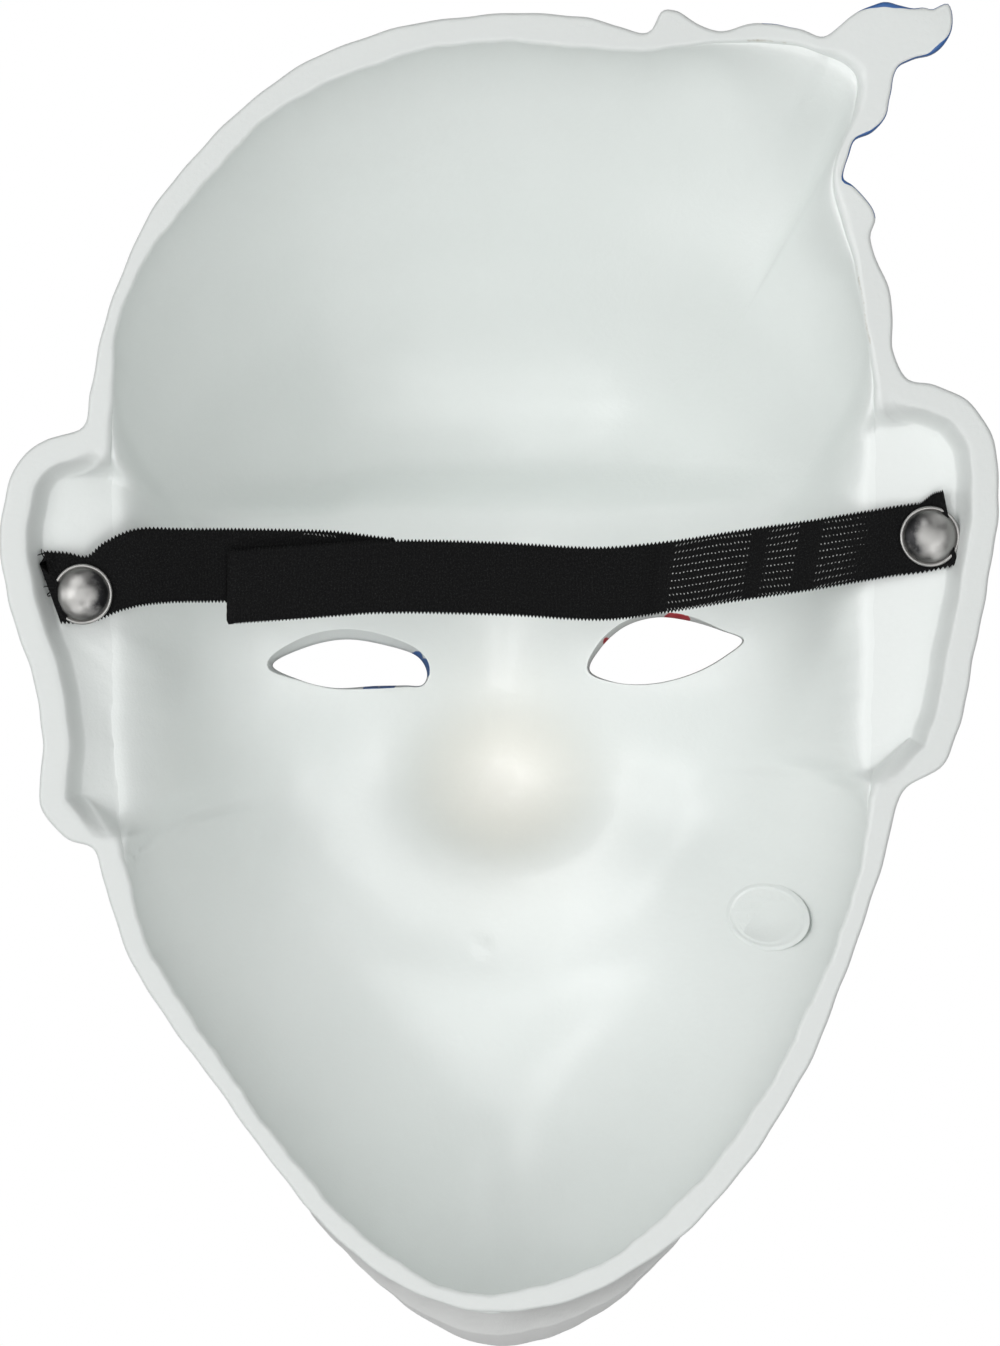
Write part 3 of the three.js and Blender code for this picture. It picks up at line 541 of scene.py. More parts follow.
def untangled(grid):
    """Even out a flat grid between its fixed borders, so that its lines don't cross.

    Each point moves towards x with a x_uu - 2 b x_uv + c x_vv = 0, where a, b and c are the
    products x_v.x_v, x_u.x_v and x_u.x_u.
    """
    grid = grid.copy()
    for _ in range(TUFT_ROUNDS):
        u = (grid[1:-1, 2:] - grid[1:-1, :-2]) / 2
        v = (grid[2:, 1:-1] - grid[:-2, 1:-1]) / 2
        a = (v * v).sum(-1, keepdims=True)
        b = (u * v).sum(-1, keepdims=True)
        c = (u * u).sum(-1, keepdims=True)
        cross = (grid[2:, 2:] - grid[2:, :-2] - grid[:-2, 2:] + grid[:-2, :-2]) / 4
        beside = grid[1:-1, 2:] + grid[1:-1, :-2]
        above = grid[2:, 1:-1] + grid[:-2, 1:-1]
        wanted = (a * beside + c * above - 2 * b * cross) / (2 * (a + c) + 1e-9)
        grid[1:-1, 1:-1] = mix(grid[1:-1, 1:-1], wanted, 0.8)
    return grid


def edge_roll(ear, wall, in_tuft, angles):
    """How far the bowl's upper edge is rolled over, at each column."""
    low, high = EAR_ROLL_RISE
    at_ear = ear * mix(*EAR_ROLL, smoothstep((wall[:, 1] - low) / (high - low)))
    return smoothed_by_angle(np.maximum(at_ear, TUFT_ROLL * in_tuft), angles, 0.012)


def smoothed_by_angle(values, angles, share):
    """Mean of a closed row of values over a share of the full turn to each side, taken twice."""
    even = angles[0] + TURN * np.arange(COLUMNS) / COLUMNS
    spread = smoothed(smoothed(np.interp(even, angles, values, period=TURN), share / 1.4), share / 1.4)
    return np.interp(angles, even, spread, period=TURN)


def rim_top(ear, in_tuft, row_count, edge_row):
    """How far each point gets the painted shade of the rim's flat top, between 0 and 1 and less at the
    tuft.
    """
    number = np.arange(row_count)[:, None]
    plain = np.clip(number / (DISH_ROWS - 1), 0, 1)
    full = mix(0.3, 1.0, np.clip((number - DISH_ROWS + 1) / 6, 0, 1))
    shaded = mix(plain, full, ear) * np.clip((edge_row + 3 - number) / 3, 0, 1)
    return shaded * mix(1.0, 0.8, smoothed(in_tuft * 1.0, 0.01))


# Bowl

def face_depth(x, y, inset, side):
    """Depth of the face below the rim plane, without the bowl.

    depth = FACE_DEPTH - inset + sum of rise exp(-(across^2 + up^2)^power) over the features,
    plus the brow's step and the two lips, each exp(-((y - middle) / half height)^2) along a
    parabola. Swellings are narrower, and hollows wider, inside the foam.
    """
    depth = FACE_DEPTH - inset
    brow = BROW if side == "front" else INNER_BROW
    lip_rise = LIP_RISE if side == "front" else INNER_LIP_RISE
    features = FEATURES if side == "front" else {**FEATURES, **INNER_FEATURES}
    for at_x, at_y, wide, tall, rise, power, paired in features.values():
        change = -INSET_CHANGE * inset * np.sign(rise)
        for sign in (-1, 1) if paired else (1,):
            across = (x - sign * at_x) / (wide + change)
            up = (y - at_y) / (tall + change)
            depth = depth + rise * np.exp(-(across**2 + up**2) ** power)
    at_left = smoothstep((-25 - x) / 15)
    line = brow["line"] - brow["left_drop"] * at_left
    slope = mix(brow["slope"], brow["left_slope"], at_left)
    up = smoothstep((y - line + slope) / (2 * slope))
    step = brow["step"] + brow["left_step"] * at_left
    depth = depth + step * up * np.exp(-((x / brow["half_width"]) ** 4))
    for line in LIP_LINES:
        middle = line + SMILE_CURVE * x * x
        across = np.exp(-((x / SMILE_HALF_WIDTH) ** 6))
        depth = depth + lip_rise * across * bell((y - middle) / LIP_HALF_HEIGHT)
    return depth


def bowl(share, edge):
    """(1 - share^BOWL_FULLNESS)^edge, the share of the full depth on the way to the wall."""
    return np.maximum(0.0, 1 - share**BOWL_FULLNESS) ** edge


def ring_shares():
    """Share of the way out of each ring, spaced evenly along the bowl's own section."""
    share = np.linspace(0, 1, 2001)
    drop = FACE_DEPTH * np.diff(bowl(share, BOWL_EDGE))
    weight = 1 + CENTRE_WEIGHT * (1 - share[1:])
    lengths = np.concatenate([[0.0], np.cumsum(weight * np.hypot(MEAN_RADIUS / 2000, drop))])
    return np.interp(np.linspace(0, lengths[-1], GRID_CELLS // 2 + 1), lengths, share)


def grid_places():
    """Ring number and column number, not always whole, of each point of the square grid."""
    line = 2 * np.arange(GRID_CELLS + 1) / GRID_CELLS - 1
    a, b = (m.ravel() for m in np.meshgrid(line, line, indexing="ij"))
    ring = np.rint(GRID_CELLS / 2 * np.maximum(abs(a), abs(b))).astype(int)
    safe_a = np.where(a == 0, 1, a)
    safe_b = np.where(b == 0, 1, b)
    eighth = COLUMNS / 8
    column = np.select(
        [ring == 0, a >= abs(b), b >= abs(a), -a >= abs(b)],
        [0 * a, eighth * (b / safe_a), eighth * (2 - a / safe_b), eighth * (4 + b / safe_a)],
        eighth * (6 - a / safe_b),
    )
    return ring, np.mod(column, COLUMNS)


def between(values, column):
    """Values of the columns, at column numbers that may lie between two of them."""
    whole = np.floor(column).astype(int)
    within = (column - whole).reshape((-1,) + (1,) * (values.ndim - 1))
    return mix(values[whole % COLUMNS], values[(whole + 1) % COLUMNS], within)


def hair_mask(angle):
    """Share of the way along the stretch of hair, from 0 to 1, and outside that range off it."""
    return (np.degrees(angle) - HAIR_FROM) / (HAIR_TO - HAIR_FROM)


def hair_rise(angle, share):
    """Rise of the locks, HAIR_RISE |sin(pi locks along + slant share)|, and of finer strands."""
    along = hair_mask(angle)
    lock = abs(np.sin(math.pi * HAIR_LOCKS * along + HAIR_SLANT * share))
    strand = abs(np.sin(math.pi * HAIR_STRANDS * along + 5 * HAIR_SLANT * share))
    ends = smoothstep(along / HAIR_END) * smoothstep((1 - along) / HAIR_END)
    return (HAIR_RISE * lock + STRAND_RISE * strand) * ends * smoothstep((share - HAIR_SHARE) / HAIR_FADE)


def chin_overhang(points):
    """Points part of the way down the chin's wall move outwards, by a bell of their depth."""
    depth = RIM_HEIGHT - points[:, 2]
    down = (CHIN["start"] - points[:, 1]) / (CHIN["start"] - CHIN["full"])
    share = smoothstep(down) * bell((points[:, 0] - CHIN["x"]) / CHIN["width"])
    points[:, 1] -= CHIN["overhang"] * share * bell((depth - CHIN["depth"]) / CHIN["height"])


def eye_lines():
    """Outline and slope of each eye hole, as points close together, counter-clockwise."""
    lines = []
    for knots in EYE_HOLES.values():
        line = spline(knots, np.arange(0, len(knots), 1 / EYE_POINTS_PER_KNOT), closed=True)
        x, y, _ = line.T
        area = (x * np.roll(y, -1) - np.roll(x, -1) * y).sum() / 2
        line = line if area > 0 else line[::-1]
        lines.append((line[:, :2], line[:, 2]))
    return lines


def eye_distance(points):
    """Signed distance to the nearer eye hole, within 30 mm, and 30 beyond."""
    nearest = np.full(len(points), 30.0)
    for line, _ in eye_lines():
        low = line.min(axis=0) - 20
        high = line.max(axis=0) + 20
        near = ((points[:, :2] > low) & (points[:, :2] < high)).all(axis=1)
        nearest[near] = np.minimum(nearest[near], distance_to(points[near, :2], line))
    return nearest


def inner_relief(x, y):
    """Small forms of the inside that the foam's front doesn't share, as added depth."""
    waves = (
        0.16 * np.sin(x / 9.0 + 1.3 * np.sin(y / 17.0)) * np.sin(y / 11.0 + 0.8)
        + 0.10 * np.sin(x / 4.6 - y / 6.1 + 2.0) * np.sin(y / 5.2 + x / 12.0)
    )
    away = np.hypot(x - DIMPLE["x"], y - DIMPLE["y"])
    ring = DIMPLE["ring"] * bell(away / DIMPLE["ring_radius"])
    return waves + (ring - DIMPLE["depth"] * bell(away / DIMPLE["radius"]))


def edge_depth(share, near, far):
    """Depth of the wall's top edge as the bowl takes it: near the edge its own, and further in
    the one smoothed round the rim."""
    return RIM_HEIGHT - mix(far, near, smoothstep((share - EDGE_SHARE) / (1 - EDGE_SHARE)))


def surface_height(x, y, share, rim_depth, gentle, roll, side):
    """Height of the bowl: RIM_HEIGHT less rim depth + bowl(share) (face depth - rim depth).

    Inside, the bowl's part is multiplied by 1 - exp(-(distance to the edge / roll)^2), and
    beside an ear the slope of its dish runs on over the edge and fades the same way.
    """
    inset = bpy.context.scene.mask_shell.foam_wall / MM if side == "inner" else 0.0
    steepness = mix(BOWL_EDGE, EAR_BOWL_EDGE, gentle)
    full = face_depth(x, y, inset, side)
    if side == "inner":
        full = full + inner_relief(x, y)
    drop = bowl(share, steepness) * (full - rim_depth)
    if side == "inner":
        away = 0.8 * MEAN_RADIUS * (1 - share)
        rolled = bell(away / np.maximum(roll, 0.01))
        run_on = np.where(x > 0, EAR_RUN_ON["right"], EAR_RUN_ON["left"]) * gentle
        drop = drop * (1 - rolled) + run_on * away * rolled
    return RIM_HEIGHT - rim_depth - drop


def bowl_grid(rim, side, inner_points=None):
    """Points of the inner or front bowl on the square grid.

    A point lies at share of the way from the centre to the plain oval, and from WALL_SHARE on
    it moves over to the rim's own edge. Round the eyes the front takes the inner points'
    places, so that the holes run straight through.
    """
    ring, column = grid_places()
    share = ring_shares()[ring]
    edge = between(rim["edge"][side], column)
    oval = between(rim["oval"][side], column)
    gentle = between(rim["gentle"], column)
    roll = between(rim["roll"], column)
    settle = smoothstep((share - WALL_SHARE) / (1 - WALL_SHARE))[:, None]
    flat = CENTRE + share[:, None] * (oval - CENTRE) + settle * (edge[:, :2] - oval)
    if inner_points is not None:
        near = smoothstep(1 - (eye_distance(inner_points) - EYE_ALIGNED) / EYE_ALIGNED_FADE)
        moved = mix(flat, inner_points[:, :2], near[:, None])
        before = np.maximum(polar(flat)[1], 1e-6)
        share = share * np.where(near > 0, polar(moved)[1] / before, 1.0)
        flat = moved
    x, y = flat.T
    rim_depth = edge_depth(share, edge[:, 2], between(rim["far_height"][side], column))
    z = surface_height(x, y, share, rim_depth, gentle, roll, side)
    inside = ring < GRID_CELLS // 2
    if side == "front":
        angle = polar(flat)[0]
        hair = np.where(inside, hair_rise(angle, share), 0.0)
        z -= hair * (1 - share**2)
        outwards = hair * share**2 * smoothstep((RIM_HEIGHT - z - HAIR_CLEAR) / HAIR_CLEAR_FADE)
        x = x + outwards * np.cos(angle)
        y = y + outwards * np.sin(angle)
    points = np.column_stack([x, y, np.maximum(z, 0.0)])
    moved = points.copy()
    chin_overhang(moved)
    return np.where(inside[:, None], moved, points), share


def grid_boundary():
    """Grid numbers of the boundary, in the order of the columns."""
    n = GRID_CELLS
    up = np.arange(n + 1)
    return np.concatenate([
        n * (n + 1) + up[n // 2:n],
        up[:0:-1] * (n + 1) + n,
        up[:0:-1],
        up[:n] * (n + 1),
        n * (n + 1) + up[:n // 2],
    ])


def height_near(rim, flat, side):
    """Height of the bowl at places between the grid's points, by angle and distance."""
    angle, distance = polar(flat)
    table_angle, table_radius = polar(rim["oval"][side])
    share = distance / np.interp(angle, table_angle, table_radius, period=TURN)
    near, far, gentle, roll = (
        np.interp(angle, table_angle, values, period=TURN)
        for values in (rim["edge"][side][:, 2], rim["far_height"][side], rim["gentle"], rim["roll"]))
    x, y = flat.T
    return surface_height(x, y, share, edge_depth(share, near, far), gentle, roll, side)


def eye_rings(rim, line, slope):
    """Rings of an eye hole, from the inside surface over the cut edge to the front surface.

    The flat rings lie on the surfaces. Between them are a rounded edge, a wall that leans
    outwards by slope towards the inside, and a small edge.
    """
    out = outward(line)
    rings = []

    def ring(distance, height):
        flat = line + out * np.reshape(distance, (-1, 1))
        rings.append(np.column_stack([flat, height]))

    def surface(distance, side):
        return height_near(rim, line + out * np.reshape(distance, (-1, 1)), side)

    for share in EYE_RING_SHARES:
        distance = mix(EYE_WIDEST, slope + EYE_EDGE_ROUND, share)
        ring(distance, surface(distance, "inner"))
    top = rings[-1][:, 2]
    bottom = surface(EYE_FRONT_ROUND, "front")
    for share in (0.3, 0.65, 1.0):
        turn = share * math.pi / 2
        ring(slope + EYE_EDGE_ROUND * (1 - math.sin(turn)), top - EYE_EDGE_ROUND * (1 - math.cos(turn)))
    for share in (0.35, 0.7):
        ring(slope * (1 - share), mix(top - EYE_EDGE_ROUND, bottom + EYE_FRONT_ROUND, share))
    for share in (0.0, 0.35, 0.7):
        turn = share * math.pi / 2
        ring(EYE_FRONT_ROUND * (1 - math.cos(turn)), bottom + EYE_FRONT_ROUND * (1 - math.sin(turn)))
    for share in EYE_RING_SHARES[::-1]:
        distance = mix(EYE_WIDEST, EYE_FRONT_ROUND, share)
        ring(np.full(len(line), distance), surface(distance, "front"))
    return np.array(rings)


def grid_quads():
    """Corners of the grid's cells, counter-clockwise."""
    start = (np.arange(GRID_CELLS)[:, None] * (GRID_CELLS + 1) + np.arange(GRID_CELLS)).ravel()
    next_row = start + GRID_CELLS + 1
    return np.stack([start, next_row, next_row + 1, start + 1], axis=1)


def border_edges(quads):
    """Edges that belong to one of the quads only."""
    edges = np.concatenate([quads[:, [k, (k + 1) % 4]] for k in range(4)])
    ordered = np.sort(edges, axis=1)
    keys = ordered[:, 0] * (GRID_CELLS + 1) ** 2 + ordered[:, 1]
    _, first, count = np.unique(keys, return_index=True, return_counts=True)
    return edges[first[count == 1]]


def fill_between(inner, border, line, ring):
    """Triangles between the cleared grid and an eye hole's widest ring: a Delaunay net of both.

    Negative corner numbers count the ring's points, -1 being the first.
    """
    ends = inner[border].reshape(-1, 3)[:, :2]
    near = distance_to(ends, line).reshape(-1, 2).max(axis=1) < 3 * EYE_CLEARING
    border = border[near]
    used, edges = np.unique(border, return_inverse=True)
    edges = edges.reshape(-1, 2)
    count = len(ring)
    flat = np.vstack([inner[used, :2], ring[:, :2]])
    around = np.arange(count)
    ring_edges = len(used) + np.stack([around, (around + 1) % count], axis=1)
    constraints = np.vstack([edges, ring_edges]).tolist()
    coordinates = [Vector(p) for p in flat.tolist()]
    _, _, faces, sources, _, _ = delaunay_2d_cdt(coordinates, constraints, [], 1, 1e-5)
    source = np.array([s[0] for s in sources])
    triangles = source[np.array([f for f in faces if len(f) == 3])]
    middles = flat[triangles].mean(axis=1)
    triangles = triangles[distance_to(middles, ring[:, :2]) > 0]
    names = np.concatenate([used, -1 - around])
    return names[triangles]


# Paint, as signed distances in millimetres, above 0 where there is paint

UNPAINTED = -5.0

# Ovals of paint in front: x, y, half width, half height and squareness
RED_PATCH = (34, 6, 15, 30, 1.25)
BLUE_PATCH = (-32, 4, 15, 30, 1.25)
BLUSH = (46, -36, 15, 13)

NOSE_PAINT = {"y": -26, "radius": 17.2}
LIPS = {"y": -67.5, "half_width": 43.0, "half_height": 15.5}
MOUTH_LINE = {"y": -67.0, "curve_share": 0.8, "half_height": 0.9, "trim": 0.25}
BROW_LINES = [(-33, 47), (35, 49)]
BROW_LINE = {"half_width": 1.5, "curve": 0.018, "taper": 0.02, "middle": 34, "reach": 15}


def oval_paint(x, y, at_x, at_y, wide, tall, power=2.0):
    """Size (1 - (|dx|/wide)^power - (|dy|/tall)^power) / power, with size the lesser of both.

    It is about the distance to the oval's edge.
    """
    across = abs((x - at_x) / wide) ** power
    up = abs((y - at_y) / tall) ** power
    return min(wide, tall) * (1 - across - up) / power


def front_paint(x, y, angle, share):
    """Paint of a traditional clown on the front, by colour.

    Red is the ball nose, the smile and a pointed patch over one eye, blue is the hair and a
    patch over the other, black is the brows and the line of the mouth.
    """
    nose = NOSE_PAINT["radius"] - np.hypot(x, y - NOSE_PAINT["y"])
    smile = SMILE_CURVE * x * x
    bend = np.clip(1 - (x / LIPS["half_width"]) ** 2, 0, 1)
    lips = LIPS["half_height"] * np.sqrt(bend) - abs(y - smile - LIPS["y"])
    off_line = abs(y - smile * MOUTH_LINE["curve_share"] - MOUTH_LINE["y"])
    mouth_line = MOUTH_LINE["half_height"] * bend - off_line - MOUTH_LINE["trim"]
    brows = np.maximum(*(
        BROW_LINE["half_width"] - abs(y - at_y + BROW_LINE["curve"] * (x - at_x) ** 2)
        - BROW_LINE["taper"] * abs(x - at_x) for at_x, at_y in BROW_LINES))
    at_brows = abs(abs(x) - BROW_LINE["middle"]) < BROW_LINE["reach"]
    along = hair_mask(angle)
    lock = abs(np.sin(math.pi * HAIR_LOCKS * along + HAIR_SLANT * share))
    hairline = MEAN_RADIUS * (share - HAIR_SHARE + 0.05 - 0.07 * (1 - lock))
    span = math.radians(HAIR_TO - HAIR_FROM) * MEAN_RADIUS
    hair = np.minimum(hairline, span * np.minimum(along, 1 - along))
    return {
        "red_paint": np.maximum(np.maximum(nose, lips), oval_paint(x, y, *RED_PATCH)),
        "blue_paint": np.maximum(hair, oval_paint(x, y, *BLUE_PATCH)),
        "black_paint": np.maximum(mouth_line, np.where(at_brows, brows, UNPAINTED)),
        "blush": oval_paint(abs(x), y, *BLUSH),
    }


# Paint on the cut edges of the eye holes: x, y and how far it reaches
EYE_PAINT = {
    "blue_paint": [
        (-17.6, 3.2, 1.5), (-16.0, 1.5, 1.7), (-15.6, 0, 0.9), (-27.0, -2.9, 1.6),
        (-23.5, -2.8, 1.6)],
    "red_paint": [(35.6, 11.5, 1.2), (37.2, 11.5, 1.3), (38.8, 11.2, 0.9), (22.4, 6.6, 0.9)],
}

# Where paint comes further over the edge of the tuft: x, y, reach and how much further
TUFT_PAINT = [
    (87.6, 125.3, 2.3, 0.85), (73.8, 107.8, 2.6, 0.45), (69.4, 98.6, 1.1, 0.9), (77.4, 134.4, 3.2, 1.3),
    (70.4, 131.4, 3.0, -0.3), (64.0, 128.2, 5.0, -0.5), (69.4, 104.2, 1.8, 0.15)]

# Distance past the rim's edge that stands for anywhere on the bowl
FAR_ALONG = 20.0

# Brown cracks on the inner edge of the rim: lowest and highest x and y
CRACKS = [(46, 61, 120, 130), (68, 76, 53, 84)]


def window(value, low, high, fade):
    """1 between two limits and 0 beyond them."""
    return smoothstep((value - low) / fade) * smoothstep((high - value) / fade)


def paint_of_shell(points, angle, share, extra):
    """Paint and marks of the shell at each point.

    extra holds along, the distance past the outer top edge of the rim, negative towards the
    inside; inner_edge, the distance past the rim's inner edge; tuft, 1 at the tuft; rim_top, 1 on
    the rim; and cut, 1 on the wall of an eye hole. The front's paint begins at the outer edge, and
    comes over it at the tuft by TUFT_PAINT.
    """
    x, y = points[:, 0], points[:, 1]
    along = extra["along"]
    cut = extra["cut"]
    paint = front_paint(x, y, angle, share)
    over = mix(-0.6, 0.05, smoothstep(extra["tuft"]))
    for at_x, at_y, reach, more in TUFT_PAINT:
        over = over + more * bell(np.hypot(x - at_x, y - at_y) / reach)
    for name, value in paint.items():
        front = np.minimum(value, 3 * (along + (over if name == "blue_paint" else -0.5)))
        spots = np.full(len(points), UNPAINTED)
        for at_x, at_y, reach in EYE_PAINT.get(name, []):
            spots = np.maximum(spots, reach - np.hypot(x - at_x, y - at_y))
        paint[name] = np.where(cut > 0.5, spots, front)
    depth = RIM_HEIGHT - points[:, 2]
    # Painted warm light in the nose recess, fading in from 45 mm below the rim
    recess = bell(np.hypot(x - 1, (y + 22) / 1.25) / 19.0) * smoothstep((depth - 45) / 30)
    crack = np.zeros(len(points))
    for low_x, high_x, low_y, high_y in CRACKS:
        crack += window(x, low_x, high_x, 2.5) * window(y, low_y, high_y, 2.5)
    return {
        **paint,
        "coat": along - 0.45,
        "cut": cut,
        "rim_top": extra["rim_top"],
        "crack": crack * bell((extra["inner_edge"] - 1.0) / 0.7),
        "painted_warm_light": np.where(along < 0, recess, 0.0),
    }


def shell_arrays():
    """Points, faces and named values of the whole shell."""
    rim = rim_rows()
    inner, inner_share = bowl_grid(rim, "inner")
    front, front_share = bowl_grid(rim, "front", inner)
    count = len(inner)
    boundary = grid_boundary()
    middle_rows = rim["rows"][1:-1]
    row_count = len(middle_rows)
    points = [inner, front, middle_rows.reshape(-1, 3)]
    start = 2 * count
    total = start + row_count * COLUMNS
    numbers = np.arange(start, total).reshape(-1, COLUMNS)
    rows = np.vstack([boundary, numbers, boundary + count])

    quads = grid_quads()
    kept = quads[(eye_distance(inner)[quads] > EYE_CLEARING).all(axis=1)]
    border = border_edges(kept)
    quad_list = [kept, kept[:, ::-1] + count, band(rows, flipped=True)]
    triangle_list = []
    extra = {}
    inner_edge = rim["along"] - rim["along"][0]
    for name, rows_of, at_inner, at_front in (
        ("along", rim["along"], -FAR_ALONG, FAR_ALONG),
        ("inner_edge", inner_edge, -FAR_ALONG, 3 * FAR_ALONG),
        ("tuft", np.tile(rim["in_tuft"], (row_count + 2, 1)), 0.0, 0.0),
        ("rim_top", rim["rim_top"], 0.0, 0.0),
        ("cut", np.zeros((row_count + 2, COLUMNS)), 0.0, 0.0),
    ):
        whole = np.concatenate([np.full(count, at_inner), np.full(count, at_front), rows_of[1:-1].ravel()])
        whole[boundary] = rows_of[0]
        whole[boundary + count] = rows_of[-1]
        extra[name] = [whole]
    shares = [inner_share, front_share, np.ones(row_count * COLUMNS)]
    for line, slope in eye_lines():
        rings = eye_rings(rim, line, slope)
        ring_count, ring_size = rings.shape[:2]
        ring_numbers = total + np.arange(ring_count * ring_size).reshape(ring_count, ring_size)
        quad_list.append(band(ring_numbers))
        net = fill_between(inner, border, line, rings[0])
        upper = np.where(net < 0, total - 1 - net, net)
        lower = np.where(net < 0, ring_numbers[-1][0] - 1 - net, net + count)
        triangle_list += [upper, lower[:, ::-1]]
        flat_rings = len(EYE_RING_SHARES)
        order = np.arange(ring_count)
        inside = order < ring_count // 2 + 2
        wall = (order >= flat_rings) & (order < ring_count - flat_rings)
        points.append(rings.reshape(-1, 3))
        added = {"along": np.where(inside, -FAR_ALONG, FAR_ALONG), "cut": wall.astype(float)}
        for name in extra:
            extra[name].append(np.repeat(added.get(name, np.zeros(ring_count)), ring_size))
        shares.append(np.full(ring_count * ring_size, 0.5))
        total += ring_count * ring_size
    points = np.vstack(points)
    angle = polar(points)[0]
    rim_angles = (rim["angles"] + math.pi) % TURN - math.pi
    angle[start:start + row_count * COLUMNS] = np.tile(rim_angles, row_count)
    extra = {name: np.concatenate(parts) for name, parts in extra.items()}
    values = paint_of_shell(points, angle, np.concatenate(shares), extra)
    return points, np.vstack(quad_list), np.vstack(triangle_list), values


# Stamp

def stamp_arrays():
    """Low round seal on the inside of the cheek: a thin ring round rows of short strokes.

    Points lie on the foam's inside, over an oval seen from above, raised by ring_rise
    exp(-((r - ring) / 0.42)^2) at radius r, sunk by 0.15 where the strokes are and at the outer
    edge. The strokes are the sign of a sum of sines in rows.
    """
    radius = STAMP["radius"]
    radii = np.concatenate([np.linspace(0.12, 1, 66) * radius, [radius - 0.4]])
    angles = TURN * np.arange(160) / 160
    r, a = np.meshgrid(radii, angles, indexing="ij")
    u, v = r * np.cos(a), r * np.sin(a)
    x = STAMP["x"] + u * STAMP["across"]
    y = STAMP["y"] + v * STAMP["up"]
    z = height_near(rim_rows(), np.column_stack([x.ravel(), y.ravel()]), "inner").reshape(r.shape)
    row = v / 2.6 + 0.1 * np.sin(u)
    number = np.round(row)
    dash = np.sin(3.1 * u + 2.4 * number) + np.sin(5.3 * u + 4.1 * number**2) > 0.2
    stroke = (abs(row - number) < 0.27) * dash * (r < STAMP["strokes"])
    rise = STAMP["ring_rise"] * bell((r - STAMP["ring"]) / 0.42)
    rise += 0.08 * smoothstep((radius - r) / 0.5) - 0.15 * stroke
    rise -= 0.15 * smoothstep((r - radius + 0.6) / 0.6)
    rise[-1] = -0.8
    points = np.dstack([x, y, z + rise])
    size = len(angles)
    numbers = np.arange(len(radii) * size).reshape(-1, size)
    ends = [list(numbers[0]), list(numbers[-1, ::-1])]
    return points.reshape(-1, 3), [band(numbers, flipped=True), ends]


# Strap

def strap_frame():
    """Middle line, width direction, face direction and length so far, at even steps of length."""
    route = np.array(STRAP_ROUTE, float)
    steps = STRAP_TEETH * STEPS_PER_TOOTH
    u = np.linspace(0, len(route) - 1, 20 * len(route))
    line = spline(route[:, :3], u, closed=False)
    length = np.concatenate([[0.0], np.cumsum(np.linalg.norm(np.diff(line, axis=0), axis=1))])
    even = np.linspace(0, length[-1], steps + 1)
    even_u = np.interp(even, length, u)
    line = spline(route[:, :3], even_u, closed=False)
    turn = np.radians(-np.interp(even_u, np.arange(len(route)), route[:, 3]))
    across = np.stack([np.sin(turn), np.cos(turn), 0 * turn], axis=1)
    along = np.gradient(line, axis=0)
    along /= np.linalg.norm(along, axis=1, keepdims=True)
    face = np.cross(along, across)
    face /= np.linalg.norm(face, axis=1, keepdims=True)
    return line, across, face, along, even, even_u


def frayed(place, height):
    """Uneven lengths of cut threads: height times a sum of two sines of the place."""
    return height * (0.6 * np.sin(7.3 * place + 1.0) + 0.4 * np.sin(17.9 * place + 2.2))


